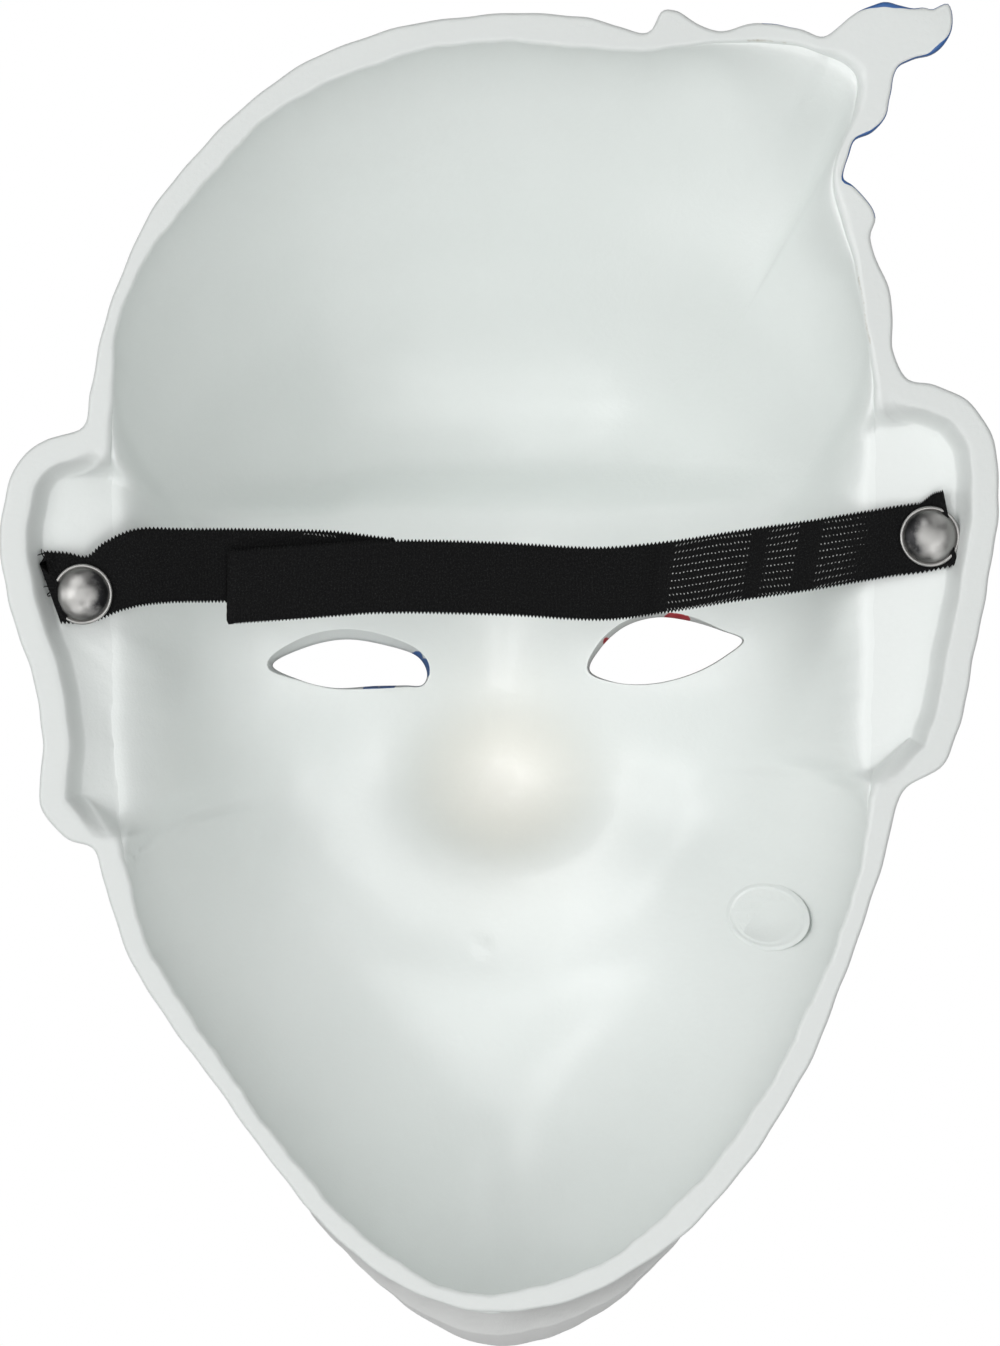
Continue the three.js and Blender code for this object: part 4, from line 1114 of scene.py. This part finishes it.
def strap_arrays():
    """Closed ribbon: a flat section with ribs, swept along the middle line.

    Half width = width / 2 + TOOTH_DEPTH (zigzag between 0 and 1, less a half), and the upper
    edge is bent by rise exp(-((length - middle) / reach)^2) over STRAP_BENDS. The thickness is
    0.85 + 0.15 |cos(pi ribs (w + 1) / 2)| of the full one at w, from -1 to 1 across, and thins at
    the edges. The cut ends slant, curl up a little and are frayed.
    """
    settings = bpy.context.scene.mask_strap
    half_width = settings.width / MM / 2
    half_thick = settings.thickness / MM / 2
    line, across, face, along, length, route_u = strap_frame()
    steps = len(length)
    from_end = length[-1] - length
    w = np.linspace(-1, 1, STRAP_ACROSS + 1)
    ribs = 1 - RIB_DEPTH + RIB_DEPTH * abs(np.cos(math.pi * settings.ribs * (w + 1) / 2))
    thin = THIN_EDGE + (1 - THIN_EDGE) * np.sqrt(np.clip((1 - abs(w)) / 0.06, 0, 1))
    tooth = abs(2 * (np.arange(steps) / STEPS_PER_TOOTH % 1) - 1)
    half = np.repeat((half_width + TOOTH_DEPTH * (tooth - 0.5))[:, None], STRAP_ACROSS + 1, axis=1)
    upper = smoothstep(w[None] / 0.6)
    for rise, middle, reach in STRAP_BENDS:
        half = half + rise * upper * bell((length[:, None] - middle) / reach)
    half = half + 1.9 * upper * smoothstep((8.5 - from_end[:, None]) / 6.0)
    place = line[:, None] + across[:, None] * (w[None, :, None] * half[:, :, None])
    curl = 0.0
    for end, passed in ((LEFT_END, length), (RIGHT_END, from_end)):
        cut = mix(*end["slant"], (w + 1) / 2) + frayed(w * end["threads"], end["fray"])
        cut = cut - end["notch"] * bell((w - 0.6) / 0.22)
        near_end = np.clip(1 - passed[:, None] / end["reach"], 0, 1)
        place += along[:, None] * (near_end * cut[None])[..., None]
        curl = curl + end["curl"] * smoothstep((end["curl_reach"] - passed) / end["curl_reach"])
    in_top = route_u > TOP_LAYER_FROM
    crease = CREASE["depth"] * bell((line[:, 0] - CREASE["x"]) / CREASE["half_length"]) * in_top
    place[..., 2] += (curl - crease)[:, None]
    lift = face[:, None] * (ribs * thin * half_thick)[None, :, None]
    section = np.concatenate([place + lift, (place - lift)[:, ::-1]], axis=1)
    steps, size = section.shape[:2]
    numbers = np.arange(steps * size).reshape(steps, size)
    ends = [list(numbers[0, ::-1]), list(numbers[-1])]
    u = np.repeat(length, size)
    v = np.tile(np.concatenate([w, w[::-1]]) * half_width, steps)
    top = np.interp(line[:, 0], *zip(*OPEN_KNIT)) * in_top
    low = np.interp(line[:, 0], *zip(*OPEN_KNIT_LOW)) * (route_u < BOTTOM_LAYER_TO)
    edge_rows = np.tile(np.concatenate([w, w[::-1]]) > 0.72, steps)
    open_knit = np.repeat(top, size) + np.repeat(low, size) * edge_rows
    return section.reshape(-1, 3), band(numbers), ends, np.stack([u, v], axis=1), open_knit


def thread_arrays():
    """Loose threads at the frayed corner: thin tubes along short bent lines."""
    tubes = []
    faces = []
    sides = 5
    steps = 9
    count = 16
    for i in range(count):
        share = i / (count - 1)
        start = np.array([mix(-90.9, -90.3, share), mix(24.2, 15.5, share), STRAP_SEAT + 1.0])
        turn = math.pi * (0.93 + 0.13 * math.sin(5.1 * i)) + 0.5 * (1 - share)
        reach = mix(2.6, 0.9, share) * (0.65 + 0.35 * math.sin(3.7 * i + 1))
        t = np.linspace(0, 1, steps)
        bend = turn + 0.9 * math.sin(2.3 * i) * t
        x = start[0] + reach * t * np.cos(bend)
        y = start[1] + reach * t * np.sin(bend)
        z = start[2] + 0.5 * np.sin(3 * t + i) - 0.6 * t
        line = np.column_stack([x, y, z])
        along = np.gradient(line, axis=0)
        along /= np.linalg.norm(along, axis=1, keepdims=True)
        across = np.cross(along, (0, 0, 1.0))
        across /= np.linalg.norm(across, axis=1, keepdims=True)
        up = np.cross(across, along)
        radius = mix(0.17, 0.09, t)[:, None, None]
        around = TURN * np.arange(sides)[None, :, None] / sides
        rings = line[:, None] + radius * (across[:, None] * np.cos(around) + up[:, None] * np.sin(around))
        numbers = len(tubes) * steps * sides + np.arange(steps * sides).reshape(steps, sides)
        faces += [band(numbers), [list(numbers[0, ::-1]), list(numbers[-1])]]
        tubes.append(rings.reshape(-1, 3))
    return np.vstack(tubes), faces


# Meshes

def mesh_object(name, points, faces):
    """New smooth mesh object from points in drawing millimetres and groups of faces."""
    mesh = bpy.data.meshes.new(name)
    placed = (np.asarray(points, float) + OFFSET) * MM
    mesh.from_pydata(placed.tolist(), [], [list(map(int, f)) for group in faces for f in group])
    mesh.validate()
    mesh.polygons.foreach_set("use_smooth", np.full(len(mesh.polygons), True))
    mesh.update()
    made = bpy.data.objects.new(name, mesh)
    bpy.context.scene.collection.objects.link(made)
    return made


def set_values(made, values):
    """Stores named values on the points of a mesh."""
    for name, value in values.items():
        attribute = made.data.attributes.new(name, "FLOAT", "POINT")
        attribute.data.foreach_set("value", value.astype(np.float32))


def lathe(profile, sides, place, bottom):
    """Surface turned about an upright axis: (r cos t, r sin t, z) over the profile and t."""
    profile = np.asarray(profile, float)
    t = TURN * np.arange(sides) / sides
    ring = profile[1:-1]
    r, z = ring[:, :1], ring[:, 1:]
    x = place[0] + r * np.cos(t)
    y = place[1] + r * np.sin(t)
    points = np.stack([x, y, bottom + z + 0 * t], axis=-1).reshape(-1, 3)
    ends = [(place[0], place[1], bottom + profile[0, 1]), (place[0], place[1], bottom + profile[-1, 1])]
    points = np.vstack([points, ends])
    numbers = np.arange(len(ring) * sides).reshape(len(ring), sides)
    first, last = len(points) - 2, len(points) - 1
    start = np.stack([np.full(sides, first), np.roll(numbers[0], -1), numbers[0]], axis=1)
    end = np.stack([np.full(sides, last), numbers[-1], np.roll(numbers[-1], -1)], axis=1)
    return points, [band(numbers), start, end]


# Materials

# Edges of the paint: unevenness and softness in millimetres, and scale of the unevenness
PAINT_EDGES = {
    "coat": (0.5, 0.15, 220.0),
    "blush": (2.0, 5.0, 60.0),
    "red_paint": (1.0, 0.12, 180.0),
    "blue_paint": (1.2, 0.12, 240.0),
    "black_paint": (0.7, 0.12, 200.0),
}
FOAM_SHADE = (0.955, 0.965, 0.96)
# Painted shade: share of the bare foam's colour left on the rim's flat top
PAINTED_RIM_SHADE = 0.82
# Grey mixed a little into the cut walls of the eye holes, making them slightly darker
EYE_WALL_GREY = (0.38, 0.39, 0.385)
CRACKED_FOAM = (0.36, 0.31, 0.22)
PINK_PAINT = (0.78, 0.36, 0.33)
BLACK_PAINT = (0.012, 0.012, 0.014)
LINT = (0.04, 0.042, 0.041)
# Painted pale dots in the knit stand for the lit foam seen through its gaps
PAINTED_FOAM_THROUGH_KNIT = (0.5, 0.51, 0.5)
# Painted reflection of the dark strap on the caps, also used for a darker ring at the foot of each dome
REFLECTION_AND_FOOT_DARK = (0.04, 0.04, 0.042)

# Knit of the elastic, in millimetres: stitches along it and ribs across it
STITCH_PITCH = 0.75
RIB_PITCH = 1.46


def empty_material(name):
    """Node material without nodes, and its tree."""
    material = bpy.data.materials.new(name)
    material.use_nodes = True
    material.node_tree.nodes.clear()
    return material, material.node_tree


def new_material(name):
    """Node material with a Principled shader only, its tree and the shader."""
    material, tree = empty_material(name)
    output = tree.nodes.new("ShaderNodeOutputMaterial")
    shader = tree.nodes.new("ShaderNodeBsdfPrincipled")
    tree.links.new(shader.outputs[0], output.inputs[0])
    return material, tree, shader


def put(tree, kind, inputs=None, **settings):
    """Node of a kind, with its settings, and with sockets joined or set by name or number."""
    node = tree.nodes.new(kind)
    for name, value in settings.items():
        setattr(node, name, value)
    for name, value in (inputs or {}).items():
        if isinstance(value, bpy.types.NodeSocket):
            tree.links.new(value, node.inputs[name])
        else:
            node.inputs[name].default_value = value
    return node


def attribute(tree, name):
    """Value socket of a named attribute."""
    return put(tree, "ShaderNodeAttribute", attribute_name=name).outputs["Fac"]


def maths(tree, operation, first, second, **settings):
    """Value socket of an operation on two values."""
    node = put(tree, "ShaderNodeMath", {0: first, 1: second}, operation=operation, **settings)
    return node.outputs[0]


def noise(tree, vector, scale, detail, roughness=0.5):
    """Value socket of a noise."""
    node = put(tree, "ShaderNodeTexNoise", {
        "Vector": vector, "Scale": scale, "Detail": detail, "Roughness": roughness})
    return node.outputs["Fac"]


def ranged(tree, value, low, high, to_low=0.0, to_high=1.0, **settings):
    """Value socket that runs from to_low to to_high while the value runs from low to high."""
    node = put(tree, "ShaderNodeMapRange", {
        "Value": value, "From Min": low, "From Max": high, "To Min": to_low, "To Max": to_high},
        **settings)
    return node.outputs["Result"]


def blend_colour(tree, mask, first, second):
    """Colour socket: first where the mask is 0 and second where it is 1."""
    colours = {
        number: colour if isinstance(colour, bpy.types.NodeSocket) else (*colour, 1.0)
        for number, colour in ((6, first), (7, second))}
    return put(tree, "ShaderNodeMix", {0: mask, **colours}, data_type="RGBA").outputs[2]


def bumpy(tree, shader, height, strength, distance):
    """Gives a shader a surface with the bumps of a height."""
    bump = put(tree, "ShaderNodeBump", {"Height": height, "Strength": strength, "Distance": distance})
    tree.links.new(bump.outputs["Normal"], shader.inputs["Normal"])


def paint_edge_group():
    """Mask of a painted area with a brushed edge: smooth step of distance + wobble noise."""
    group = bpy.data.node_groups.new("paint edge", "ShaderNodeTree")
    for name in ("Distance", "Wobble", "Softness", "Scale"):
        group.interface.new_socket(name, in_out="INPUT", socket_type="NodeSocketFloat")
    group.interface.new_socket("Mask", in_out="OUTPUT", socket_type="NodeSocketFloat")
    inputs = put(group, "NodeGroupInput").outputs
    place = put(group, "ShaderNodeTexCoord").outputs["Object"]
    centred = maths(group, "SUBTRACT", noise(group, place, inputs["Scale"], 3.0), 0.5)
    wobble = maths(group, "MULTIPLY", centred, inputs["Wobble"])
    moved = maths(group, "ADD", inputs["Distance"], wobble)
    low = maths(group, "MULTIPLY", inputs["Softness"], -1.0)
    mask = ranged(group, moved, low, inputs["Softness"], interpolation_type="SMOOTHSTEP")
    put(group, "NodeGroupOutput", {"Mask": mask})
    return group


def painted(tree, group, name):
    """Mask socket of one colour of paint."""
    wobble, softness, scale = PAINT_EDGES[name]
    node = put(tree, "ShaderNodeGroup", {
        "Distance": attribute(tree, name), "Wobble": wobble, "Softness": softness, "Scale": scale},
        node_tree=group)
    return node.outputs["Mask"]


def foam_material():
    """Moulded foam, bare and matt inside, painted in front."""
    colours = bpy.context.scene.mask_shell
    material, tree, shader = new_material("moulded foam")
    group = paint_edge_group()
    place = put(tree, "ShaderNodeTexCoord").outputs["Object"]
    coat = painted(tree, group, "coat")
    split = maths(tree, "MULTIPLY", noise(tree, place, 260.0, 5.0, 0.75), attribute(tree, "crack"))
    colour = [c * shade for c, shade in zip(colours.foam, FOAM_SHADE)]
    for mask, tint in (
        (noise(tree, place, 28.0, 4.0, 0.6), colours.foam),
        # painted warm light in the nose recess
        (attribute(tree, "painted_warm_light"), colours.recess),
        # painted shade on the rim's flat top
        (attribute(tree, "rim_top"), [c * PAINTED_RIM_SHADE for c in colours.foam]),
        # cut walls of the eye holes slightly darker
        (maths(tree, "MULTIPLY", attribute(tree, "cut"), 0.12), EYE_WALL_GREY),
        (ranged(tree, split, 0.42, 0.62, to_high=0.55), CRACKED_FOAM),
        (coat, colours.white_paint),
        (painted(tree, group, "blush"), PINK_PAINT),
        (painted(tree, group, "red_paint"), colours.red_paint),
        (painted(tree, group, "blue_paint"), colours.blue_paint),
        (painted(tree, group, "black_paint"), BLACK_PAINT),
    ):
        colour = blend_colour(tree, mask, colour, tint)
    tree.links.new(colour, shader.inputs["Base Color"])
    tree.links.new(ranged(tree, coat, 0.0, 1.0, 0.5, 0.38), shader.inputs["Roughness"])
    shader.inputs["Coat Weight"].default_value = 0.5
    shader.inputs["Coat Roughness"].default_value = 0.27
    bumpy(tree, shader, noise(tree, place, 900.0, 3.0, 0.6), 0.35, 0.00025)
    return material


def near_middle(tree, value, pitch, half):
    """1 close to the middle of each step of the pitch."""
    place = maths(tree, "PINGPONG", value, pitch / 2)
    return ranged(tree, place, pitch / 2 - half, pitch / 2 - 0.5 * half)


def elastic_material():
    """Matt black knitted elastic, from the strap's own length and width in millimetres.

    Ribs run along it. In open stretches a painted pale dot between two ribs at every stitch
    stands for the lit foam seen through the knit.
    """
    material, tree, shader = new_material("knitted elastic")
    uv = put(tree, "ShaderNodeUVMap", uv_map="strap").outputs["UV"]
    parts = put(tree, "ShaderNodeSeparateXYZ", {0: uv})
    along, across = parts.outputs[0], parts.outputs[1]
    moved = maths(tree, "ADD", across, maths(tree, "MULTIPLY", noise(tree, uv, 0.9, 2.0), 0.5))
    stitch = near_middle(tree, along, STITCH_PITCH, 0.15)
    holes = maths(tree, "MULTIPLY", stitch, near_middle(tree, moved, RIB_PITCH, 0.13))
    open_share = maths(tree, "MULTIPLY", attribute(tree, "open_knit"), 0.75)
    chance = maths(tree, "SUBTRACT", open_share, noise(tree, uv, 1.7, 3.0, 0.7))
    gap = maths(tree, "MULTIPLY", holes, ranged(tree, chance, -0.05, 0.15))
    ribs = maths(tree, "MULTIPLY", maths(tree, "PINGPONG", moved, RIB_PITCH / 2), 0.6)
    stitches = maths(tree, "MULTIPLY", maths(tree, "PINGPONG", along, STITCH_PITCH / 2), 0.9)
    pile = noise(tree, uv, 3.5, 4.0, 0.7)
    height = maths(tree, "ADD", maths(tree, "ADD", ribs, stitches), pile)
    yarn = bpy.context.scene.mask_strap.colour
    colour = blend_colour(tree, ranged(tree, pile, 0.5, 0.75, to_high=0.8), yarn, LINT)
    # painted pale dots in the knit's gaps, standing for the lit foam seen through them
    colour = blend_colour(tree, gap, colour, PAINTED_FOAM_THROUGH_KNIT)
    tree.links.new(colour, shader.inputs["Base Color"])
    shader.inputs["Roughness"].default_value = 0.95
    shader.inputs["Specular IOR Level"].default_value = 0.12
    bumpy(tree, shader, height, 0.8, 0.0003)
    return material


def nickel_material():
    """Nickel plating, smudged, with a painted dark reflection of the strap on the side towards it and
    darker at the foot of the dome.
    """
    material, tree, shader = new_material("nickel plate")
    place = put(tree, "ShaderNodeTexCoord").outputs["Object"]
    uneven = maths(tree, "MULTIPLY", noise(tree, place, 260.0, 5.0, 0.65), 0.9)
    darkened = maths(tree, "MULTIPLY", attribute(tree, "reflection_and_foot_dark"), uneven)
    twice = maths(tree, "MULTIPLY", darkened, 2.0, use_clamp=True)
    colour = blend_colour(tree, twice, bpy.context.scene.mask_rivets.colour, REFLECTION_AND_FOOT_DARK)
    tree.links.new(colour, shader.inputs["Base Color"])
    shader.inputs["Metallic"].default_value = 1.0
    rough = ranged(tree, noise(tree, place, 420.0, 4.0), 0.35, 0.7, 0.3, 0.5)
    tree.links.new(rough, shader.inputs["Roughness"])
    return material


# Settings

class MaskShellSettings(bpy.types.PropertyGroup):
    """Sizes and colours of the foam shell."""

    foam_wall: FloatProperty(
        name="Foam wall", description="Thickness of the moulded foam", default=0.004, min=0.001,
        unit="LENGTH")
    foam: FloatVectorProperty(
        name="Foam", description="Colour of the bare foam", default=(0.80, 0.83, 0.815), size=3,
        min=0.0, max=1.0, subtype="COLOR")
    # Painted warm light in the nose recess, lighter and warmer than the bare foam
    recess: FloatVectorProperty(
        name="Nose recess", description="Colour of the glowing foam in the nose", size=3,
        default=(0.85, 0.845, 0.80), min=0.0, max=1.0, subtype="COLOR")
    white_paint: FloatVectorProperty(
        name="White paint", description="Face paint in front", default=(0.70, 0.71, 0.70), size=3,
        min=0.0, max=1.0, subtype="COLOR")
    red_paint: FloatVectorProperty(
        name="Red paint", description="Nose, smile and one eye", default=(0.50, 0.008, 0.02), size=3,
        min=0.0, max=1.0, subtype="COLOR")
    blue_paint: FloatVectorProperty(
        name="Blue paint", description="Hair and the other eye", default=(0.025, 0.11, 0.33), size=3,
        min=0.0, max=1.0, subtype="COLOR")


class MaskStrapSettings(bpy.types.PropertyGroup):
    """Sizes and colour of the elastic strap."""

    width: FloatProperty(
        name="Width", description="Width of the elastic", default=0.0146, min=0.005, unit="LENGTH")
    thickness: FloatProperty(
        name="Thickness", description="Thickness of the elastic", default=0.0011, min=0.0005,
        unit="LENGTH")
    ribs: IntProperty(name="Ribs", description="Lengthwise ribs of the knit", default=9, min=1)
    colour: FloatVectorProperty(
        name="Yarn", description="Colour of the yarn", default=(0.0045, 0.0045, 0.0048), size=3,
        min=0.0, max=1.0, subtype="COLOR")


class MaskRivetSettings(bpy.types.PropertyGroup):
    """Sizes and colour of the rivets."""

    cap_radius: FloatProperty(
        name="Cap radius", description="Radius of the domed cap", default=0.0061, min=0.002,
        unit="LENGTH")
    cap_height: FloatProperty(
        name="Cap height", description="Height of the domed cap", default=0.0026, min=0.001,
        unit="LENGTH")
    sides: IntProperty(name="Sides", description="Steps round each rivet", default=96, min=12)
    colour: FloatVectorProperty(
        name="Plating", description="Colour of the plating", default=(0.37, 0.366, 0.355), size=3,
        min=0.0, max=1.0, subtype="COLOR")


class MaskStageSettings(bpy.types.PropertyGroup):
    """Light and camera."""

    key_power: FloatProperty(
        name="Light", description="Power that the soft lights share", default=52.6, min=0.0,
        unit="POWER")
    camera_height: FloatProperty(
        name="Camera height", description="Height of the camera above the rim", default=1.2,
        min=0.3, unit="LENGTH")


# Operators

class MASK_OT_shell(bpy.types.Operator):
    """Build the foam shell with its painted front and the stamp inside it"""

    bl_idname = "mask.shell"
    bl_label = "Foam shell"

    def execute(self, context):
        points, quads, triangles, values = shell_arrays()
        shell = mesh_object("foam_shell", points, [quads, triangles])
        if len(shell.data.vertices) != len(points):
            raise RuntimeError("the shell's points changed")
        set_values(shell, values)
        shell.data.materials.append(foam_material())
        stamp = mesh_object("moulded_stamp", *stamp_arrays())
        bare = np.full(len(stamp.data.vertices), -FAR_ALONG)
        set_values(stamp, {name: bare for name in PAINT_EDGES})
        stamp.data.materials.append(shell.data.materials[0])
        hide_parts("mask_shell")
        for piece in (shell, stamp):
            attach(piece, "root")
        return {"FINISHED"}


class MASK_OT_strap(bpy.types.Operator):
    """Build the folded elastic strap"""

    bl_idname = "mask.strap"
    bl_label = "Elastic strap"

    def execute(self, context):
        points, sides, ends, uv, open_knit = strap_arrays()
        strap = mesh_object("knitted_strap", points, [sides, ends])
        set_values(strap, {"open_knit": open_knit})
        layer = strap.data.uv_layers.new(name="strap")
        corners = np.empty(len(strap.data.loops), np.int32)
        strap.data.loops.foreach_get("vertex_index", corners)
        layer.data.foreach_set("uv", uv[corners].astype(np.float32).ravel())
        threads = mesh_object("frayed_threads", *thread_arrays())
        elastic = elastic_material()
        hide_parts("elastic_strap")
        for piece in (strap, threads):
            piece.data.materials.append(elastic)
            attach(piece, "root")
        return {"FINISHED"}


class MASK_OT_rivets(bpy.types.Operator):
    """Build the caps and posts of both rivets"""

    bl_idname = "mask.rivets"
    bl_label = "Rivets"

    def execute(self, context):
        settings = context.scene.mask_rivets
        nickel = nickel_material()
        for side, place in RIVETS.items():
            low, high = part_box("rivet_cap_" + side)
            points, faces = lathe(cap_profile(settings), settings.sides, place, low.z / MM)
            cap = mesh_object("domed_cap_" + side, points, faces)
            # painted dark reflection of the strap on the cap's side towards it
            set_values(cap, {"reflection_and_foot_dark": cap_reflection_and_foot_dark(points, place, 1 if side == "left" else -1)})
            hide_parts("rivet_cap_" + side)
            low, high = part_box("rivet_post_" + side)
            points, faces = lathe(post_profile((high.z - low.z) / MM), settings.sides, place, low.z / MM)
            post = mesh_object("rivet_head_" + side, points, faces)
            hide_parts("rivet_post_" + side)
            for piece in (cap, post):
                piece.data.materials.append(nickel)
                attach(piece, "root")
        return {"FINISHED"}


def cap_reflection_and_foot_dark(points, place, towards):
    """Painted dark reflection of the strap, high on the side of the dome that faces it, and a darker ring
    at the foot of the dome.
    """
    x = (points[:, 0] - place[0]) * towards
    y = points[:, 1] - place[1]
    radius = np.hypot(x, y)
    flank = smoothstep((radius - 1.5) / 2.2) * smoothstep((5.6 - radius) / 0.8)
    facing = smoothstep((x / np.maximum(radius, 0.1) + 0.1) / 0.9)
    return flank * facing + 0.35 * bell((radius - 5.15) / 0.3)


def cap_profile(settings):
    """Radius and height of the cap's section: socket, rolled bead, groove and flattened dome."""
    radius = settings.cap_radius / MM
    height = settings.cap_height / MM
    bead = 0.36
    groove = 0.05
    socket = 1.9
    dome_foot = 0.55
    profile = [(0, height / 2), (socket, height / 2), (socket, 0.0), (radius - bead, 0.0)]
    for share in np.linspace(-0.5, 1.05, 12):
        turn = share * math.pi
        profile.append((radius - bead + bead * math.cos(turn), bead + bead * math.sin(turn)))
    dome_radius = radius - 2 * bead - groove
    for share in np.linspace(1, 0, 24):
        rise = (1 - share**2.3) ** 0.8
        profile.append((dome_radius * share, dome_foot + (height - dome_foot) * rise))
    return profile


def post_profile(height):
    """Radius and height of the post's section, with a low rounded head at the bottom."""
    head_radius = 3.8
    head = 1.4
    shaft = 1.6
    profile = [(0, 0)]
    for share in np.linspace(0.08, 1, 14):
        turn = share * math.pi / 2
        profile.append((head_radius * math.sin(turn), 0.9 * head * (1 - math.cos(turn))))
    profile += [(head_radius, head), (shaft, head), (shaft, height), (0, height)]
    return profile


# Stage, in metres, with the sensor in millimetres

FLOOR_REACH = 8.0
FLOOR_LEVEL = -0.0003
SHOWN_LENGTH = 0.2692
SENSOR_WIDTH = 36.0
AIM_HEIGHT = 0.05
LIGHT_SIZE = 0.9
LIGHT_DISTANCE = 1.9

# Lights: azimuth and angle from straight up in degrees, and share of the power
LIGHTS = (
    ("overhead light", 0, 0, 0.085),
    ("left light", 180, 32, 0.171),
    ("lower right light", 300, 32, 0.133),
    ("low left light", 180, 62, 0.105),
    ("upper left light", 120, 40, 0.143),
    ("lower left light", 240, 42, 0.133),
    ("low lower right light", 300, 62, 0.082),
    ("right light", 0, 32, 0.08),
    ("upper right light", 60, 60, 0.068),
)


class MASK_OT_stage(bpy.types.Operator):
    """Set the pale floor, the soft lights and the camera"""

    bl_idname = "mask.stage"
    bl_label = "Stage"

    def execute(self, context):
        make_floor()
        make_lights(context.scene.mask_stage.key_power)
        make_camera(context.scene.mask_stage.camera_height)
        context.scene.view_settings.view_transform = "Standard"
        return {"FINISHED"}


def make_floor():
    """Floor that the camera sees as plain white from above, and that is clear from below."""
    sides = ((-1, -1), (1, -1), (1, 1), (-1, 1))
    corners = [(x * FLOOR_REACH, y * FLOOR_REACH, FLOOR_LEVEL) for x, y in sides]
    mesh = bpy.data.meshes.new("floor")
    mesh.from_pydata(corners, [], [(0, 1, 2, 3)])
    floor = bpy.data.objects.new("floor", mesh)
    bpy.context.scene.collection.objects.link(floor)
    material, tree = empty_material("white floor")
    seen = put(tree, "ShaderNodeLightPath").outputs["Is Camera Ray"]
    glow = put(tree, "ShaderNodeEmission", {"Color": (1.0, 1.0, 1.0, 1.0), "Strength": 1.0})
    diffuse = put(tree, "ShaderNodeBsdfDiffuse", {"Color": (0.5, 0.5, 0.5, 1.0)})
    both = put(tree, "ShaderNodeMixShader", {0: seen, 1: diffuse.outputs[0], 2: glow.outputs[0]})
    clear = put(tree, "ShaderNodeBsdfTransparent")
    back = put(tree, "ShaderNodeNewGeometry").outputs["Backfacing"]
    shown = put(tree, "ShaderNodeMixShader", {0: back, 1: both.outputs[0], 2: clear.outputs[0]})
    put(tree, "ShaderNodeOutputMaterial", {"Surface": shown.outputs[0]})
    mesh.materials.append(material)


def area_light(name, place, power, aim):
    """Square soft light at a place, turned towards a point, that the camera doesn't see."""
    data = bpy.data.lights.new(name, "AREA")
    data.size = LIGHT_SIZE
    data.energy = power
    light = bpy.data.objects.new(name, data)
    light.location = place
    light.rotation_mode = "QUATERNION"
    light.rotation_quaternion = (Vector(aim) - Vector(place)).to_track_quat("-Z", "Y")
    light.visible_camera = False
    bpy.context.scene.collection.objects.link(light)


def make_lights(power):
    """Soft lights all round above the hollow, strongest on the left, and a dim surround."""
    middle = Vector((0, 0, AIM_HEIGHT))
    for name, azimuth, tilt, share in LIGHTS:
        turn = math.radians(azimuth)
        away = math.sin(math.radians(tilt))
        place = Vector((away * math.cos(turn), away * math.sin(turn), math.cos(math.radians(tilt))))
        area_light(name, middle + LIGHT_DISTANCE * place, share * power, middle)
    world = bpy.data.worlds.new("surround")
    world.use_nodes = True
    background = world.node_tree.nodes["Background"]
    background.inputs["Color"].default_value = (0.5, 0.51, 0.52, 1.0)
    background.inputs["Strength"].default_value = 0.03
    bpy.context.scene.world = world


def make_camera(height):
    """Camera straight above, whose long side shows SHOWN_LENGTH at the height of the rim."""
    data = bpy.data.cameras.new("camera")
    data.sensor_width = SENSOR_WIDTH
    data.lens = data.sensor_width * height / SHOWN_LENGTH
    camera = bpy.data.objects.new("camera", data)
    camera.location = (OFFSET[0] * MM, OFFSET[1] * MM, RIM_HEIGHT * MM + height)
    bpy.context.scene.collection.objects.link(camera)
    bpy.context.scene.camera = camera


class MASK_PT_panel(bpy.types.Panel):
    """Steps of the build in the 3D view's sidebar"""

    bl_idname = "MASK_PT_panel"
    bl_label = "Foam clown mask"
    bl_space_type = "VIEW_3D"
    bl_region_type = "UI"
    bl_category = "Mask"

    def draw(self, context):
        for name in ("mask_shell", "mask_strap", "mask_rivets", "mask_stage"):
            box = self.layout.box()
            settings = getattr(context.scene, name)
            for prop in settings.__annotations__:
                box.prop(settings, prop)
            box.operator(name.replace("mask_", "mask."))


SETTINGS = {
    "mask_shell": MaskShellSettings,
    "mask_strap": MaskStrapSettings,
    "mask_rivets": MaskRivetSettings,
    "mask_stage": MaskStageSettings,
}
OPERATORS = (MASK_OT_shell, MASK_OT_strap, MASK_OT_rivets, MASK_OT_stage)


def register():
    """Registers the settings, operators and panel."""
    for name, settings in SETTINGS.items():
        bpy.utils.register_class(settings)
        setattr(bpy.types.Scene, name, PointerProperty(type=settings))
    for operator in OPERATORS:
        bpy.utils.register_class(operator)
    bpy.utils.register_class(MASK_PT_panel)


def unregister():
    """Takes back what register did."""
    bpy.utils.unregister_class(MASK_PT_panel)
    for operator in reversed(OPERATORS):
        bpy.utils.unregister_class(operator)
    for name, settings in SETTINGS.items():
        delattr(bpy.types.Scene, name)
        bpy.utils.unregister_class(settings)


def main():
    """Builds everything in order."""
    register()
    bpy.ops.mask.stage()
    bpy.ops.mask.shell()
    bpy.ops.mask.strap()
    bpy.ops.mask.rivets()


if __name__ == "__main__":
    main()
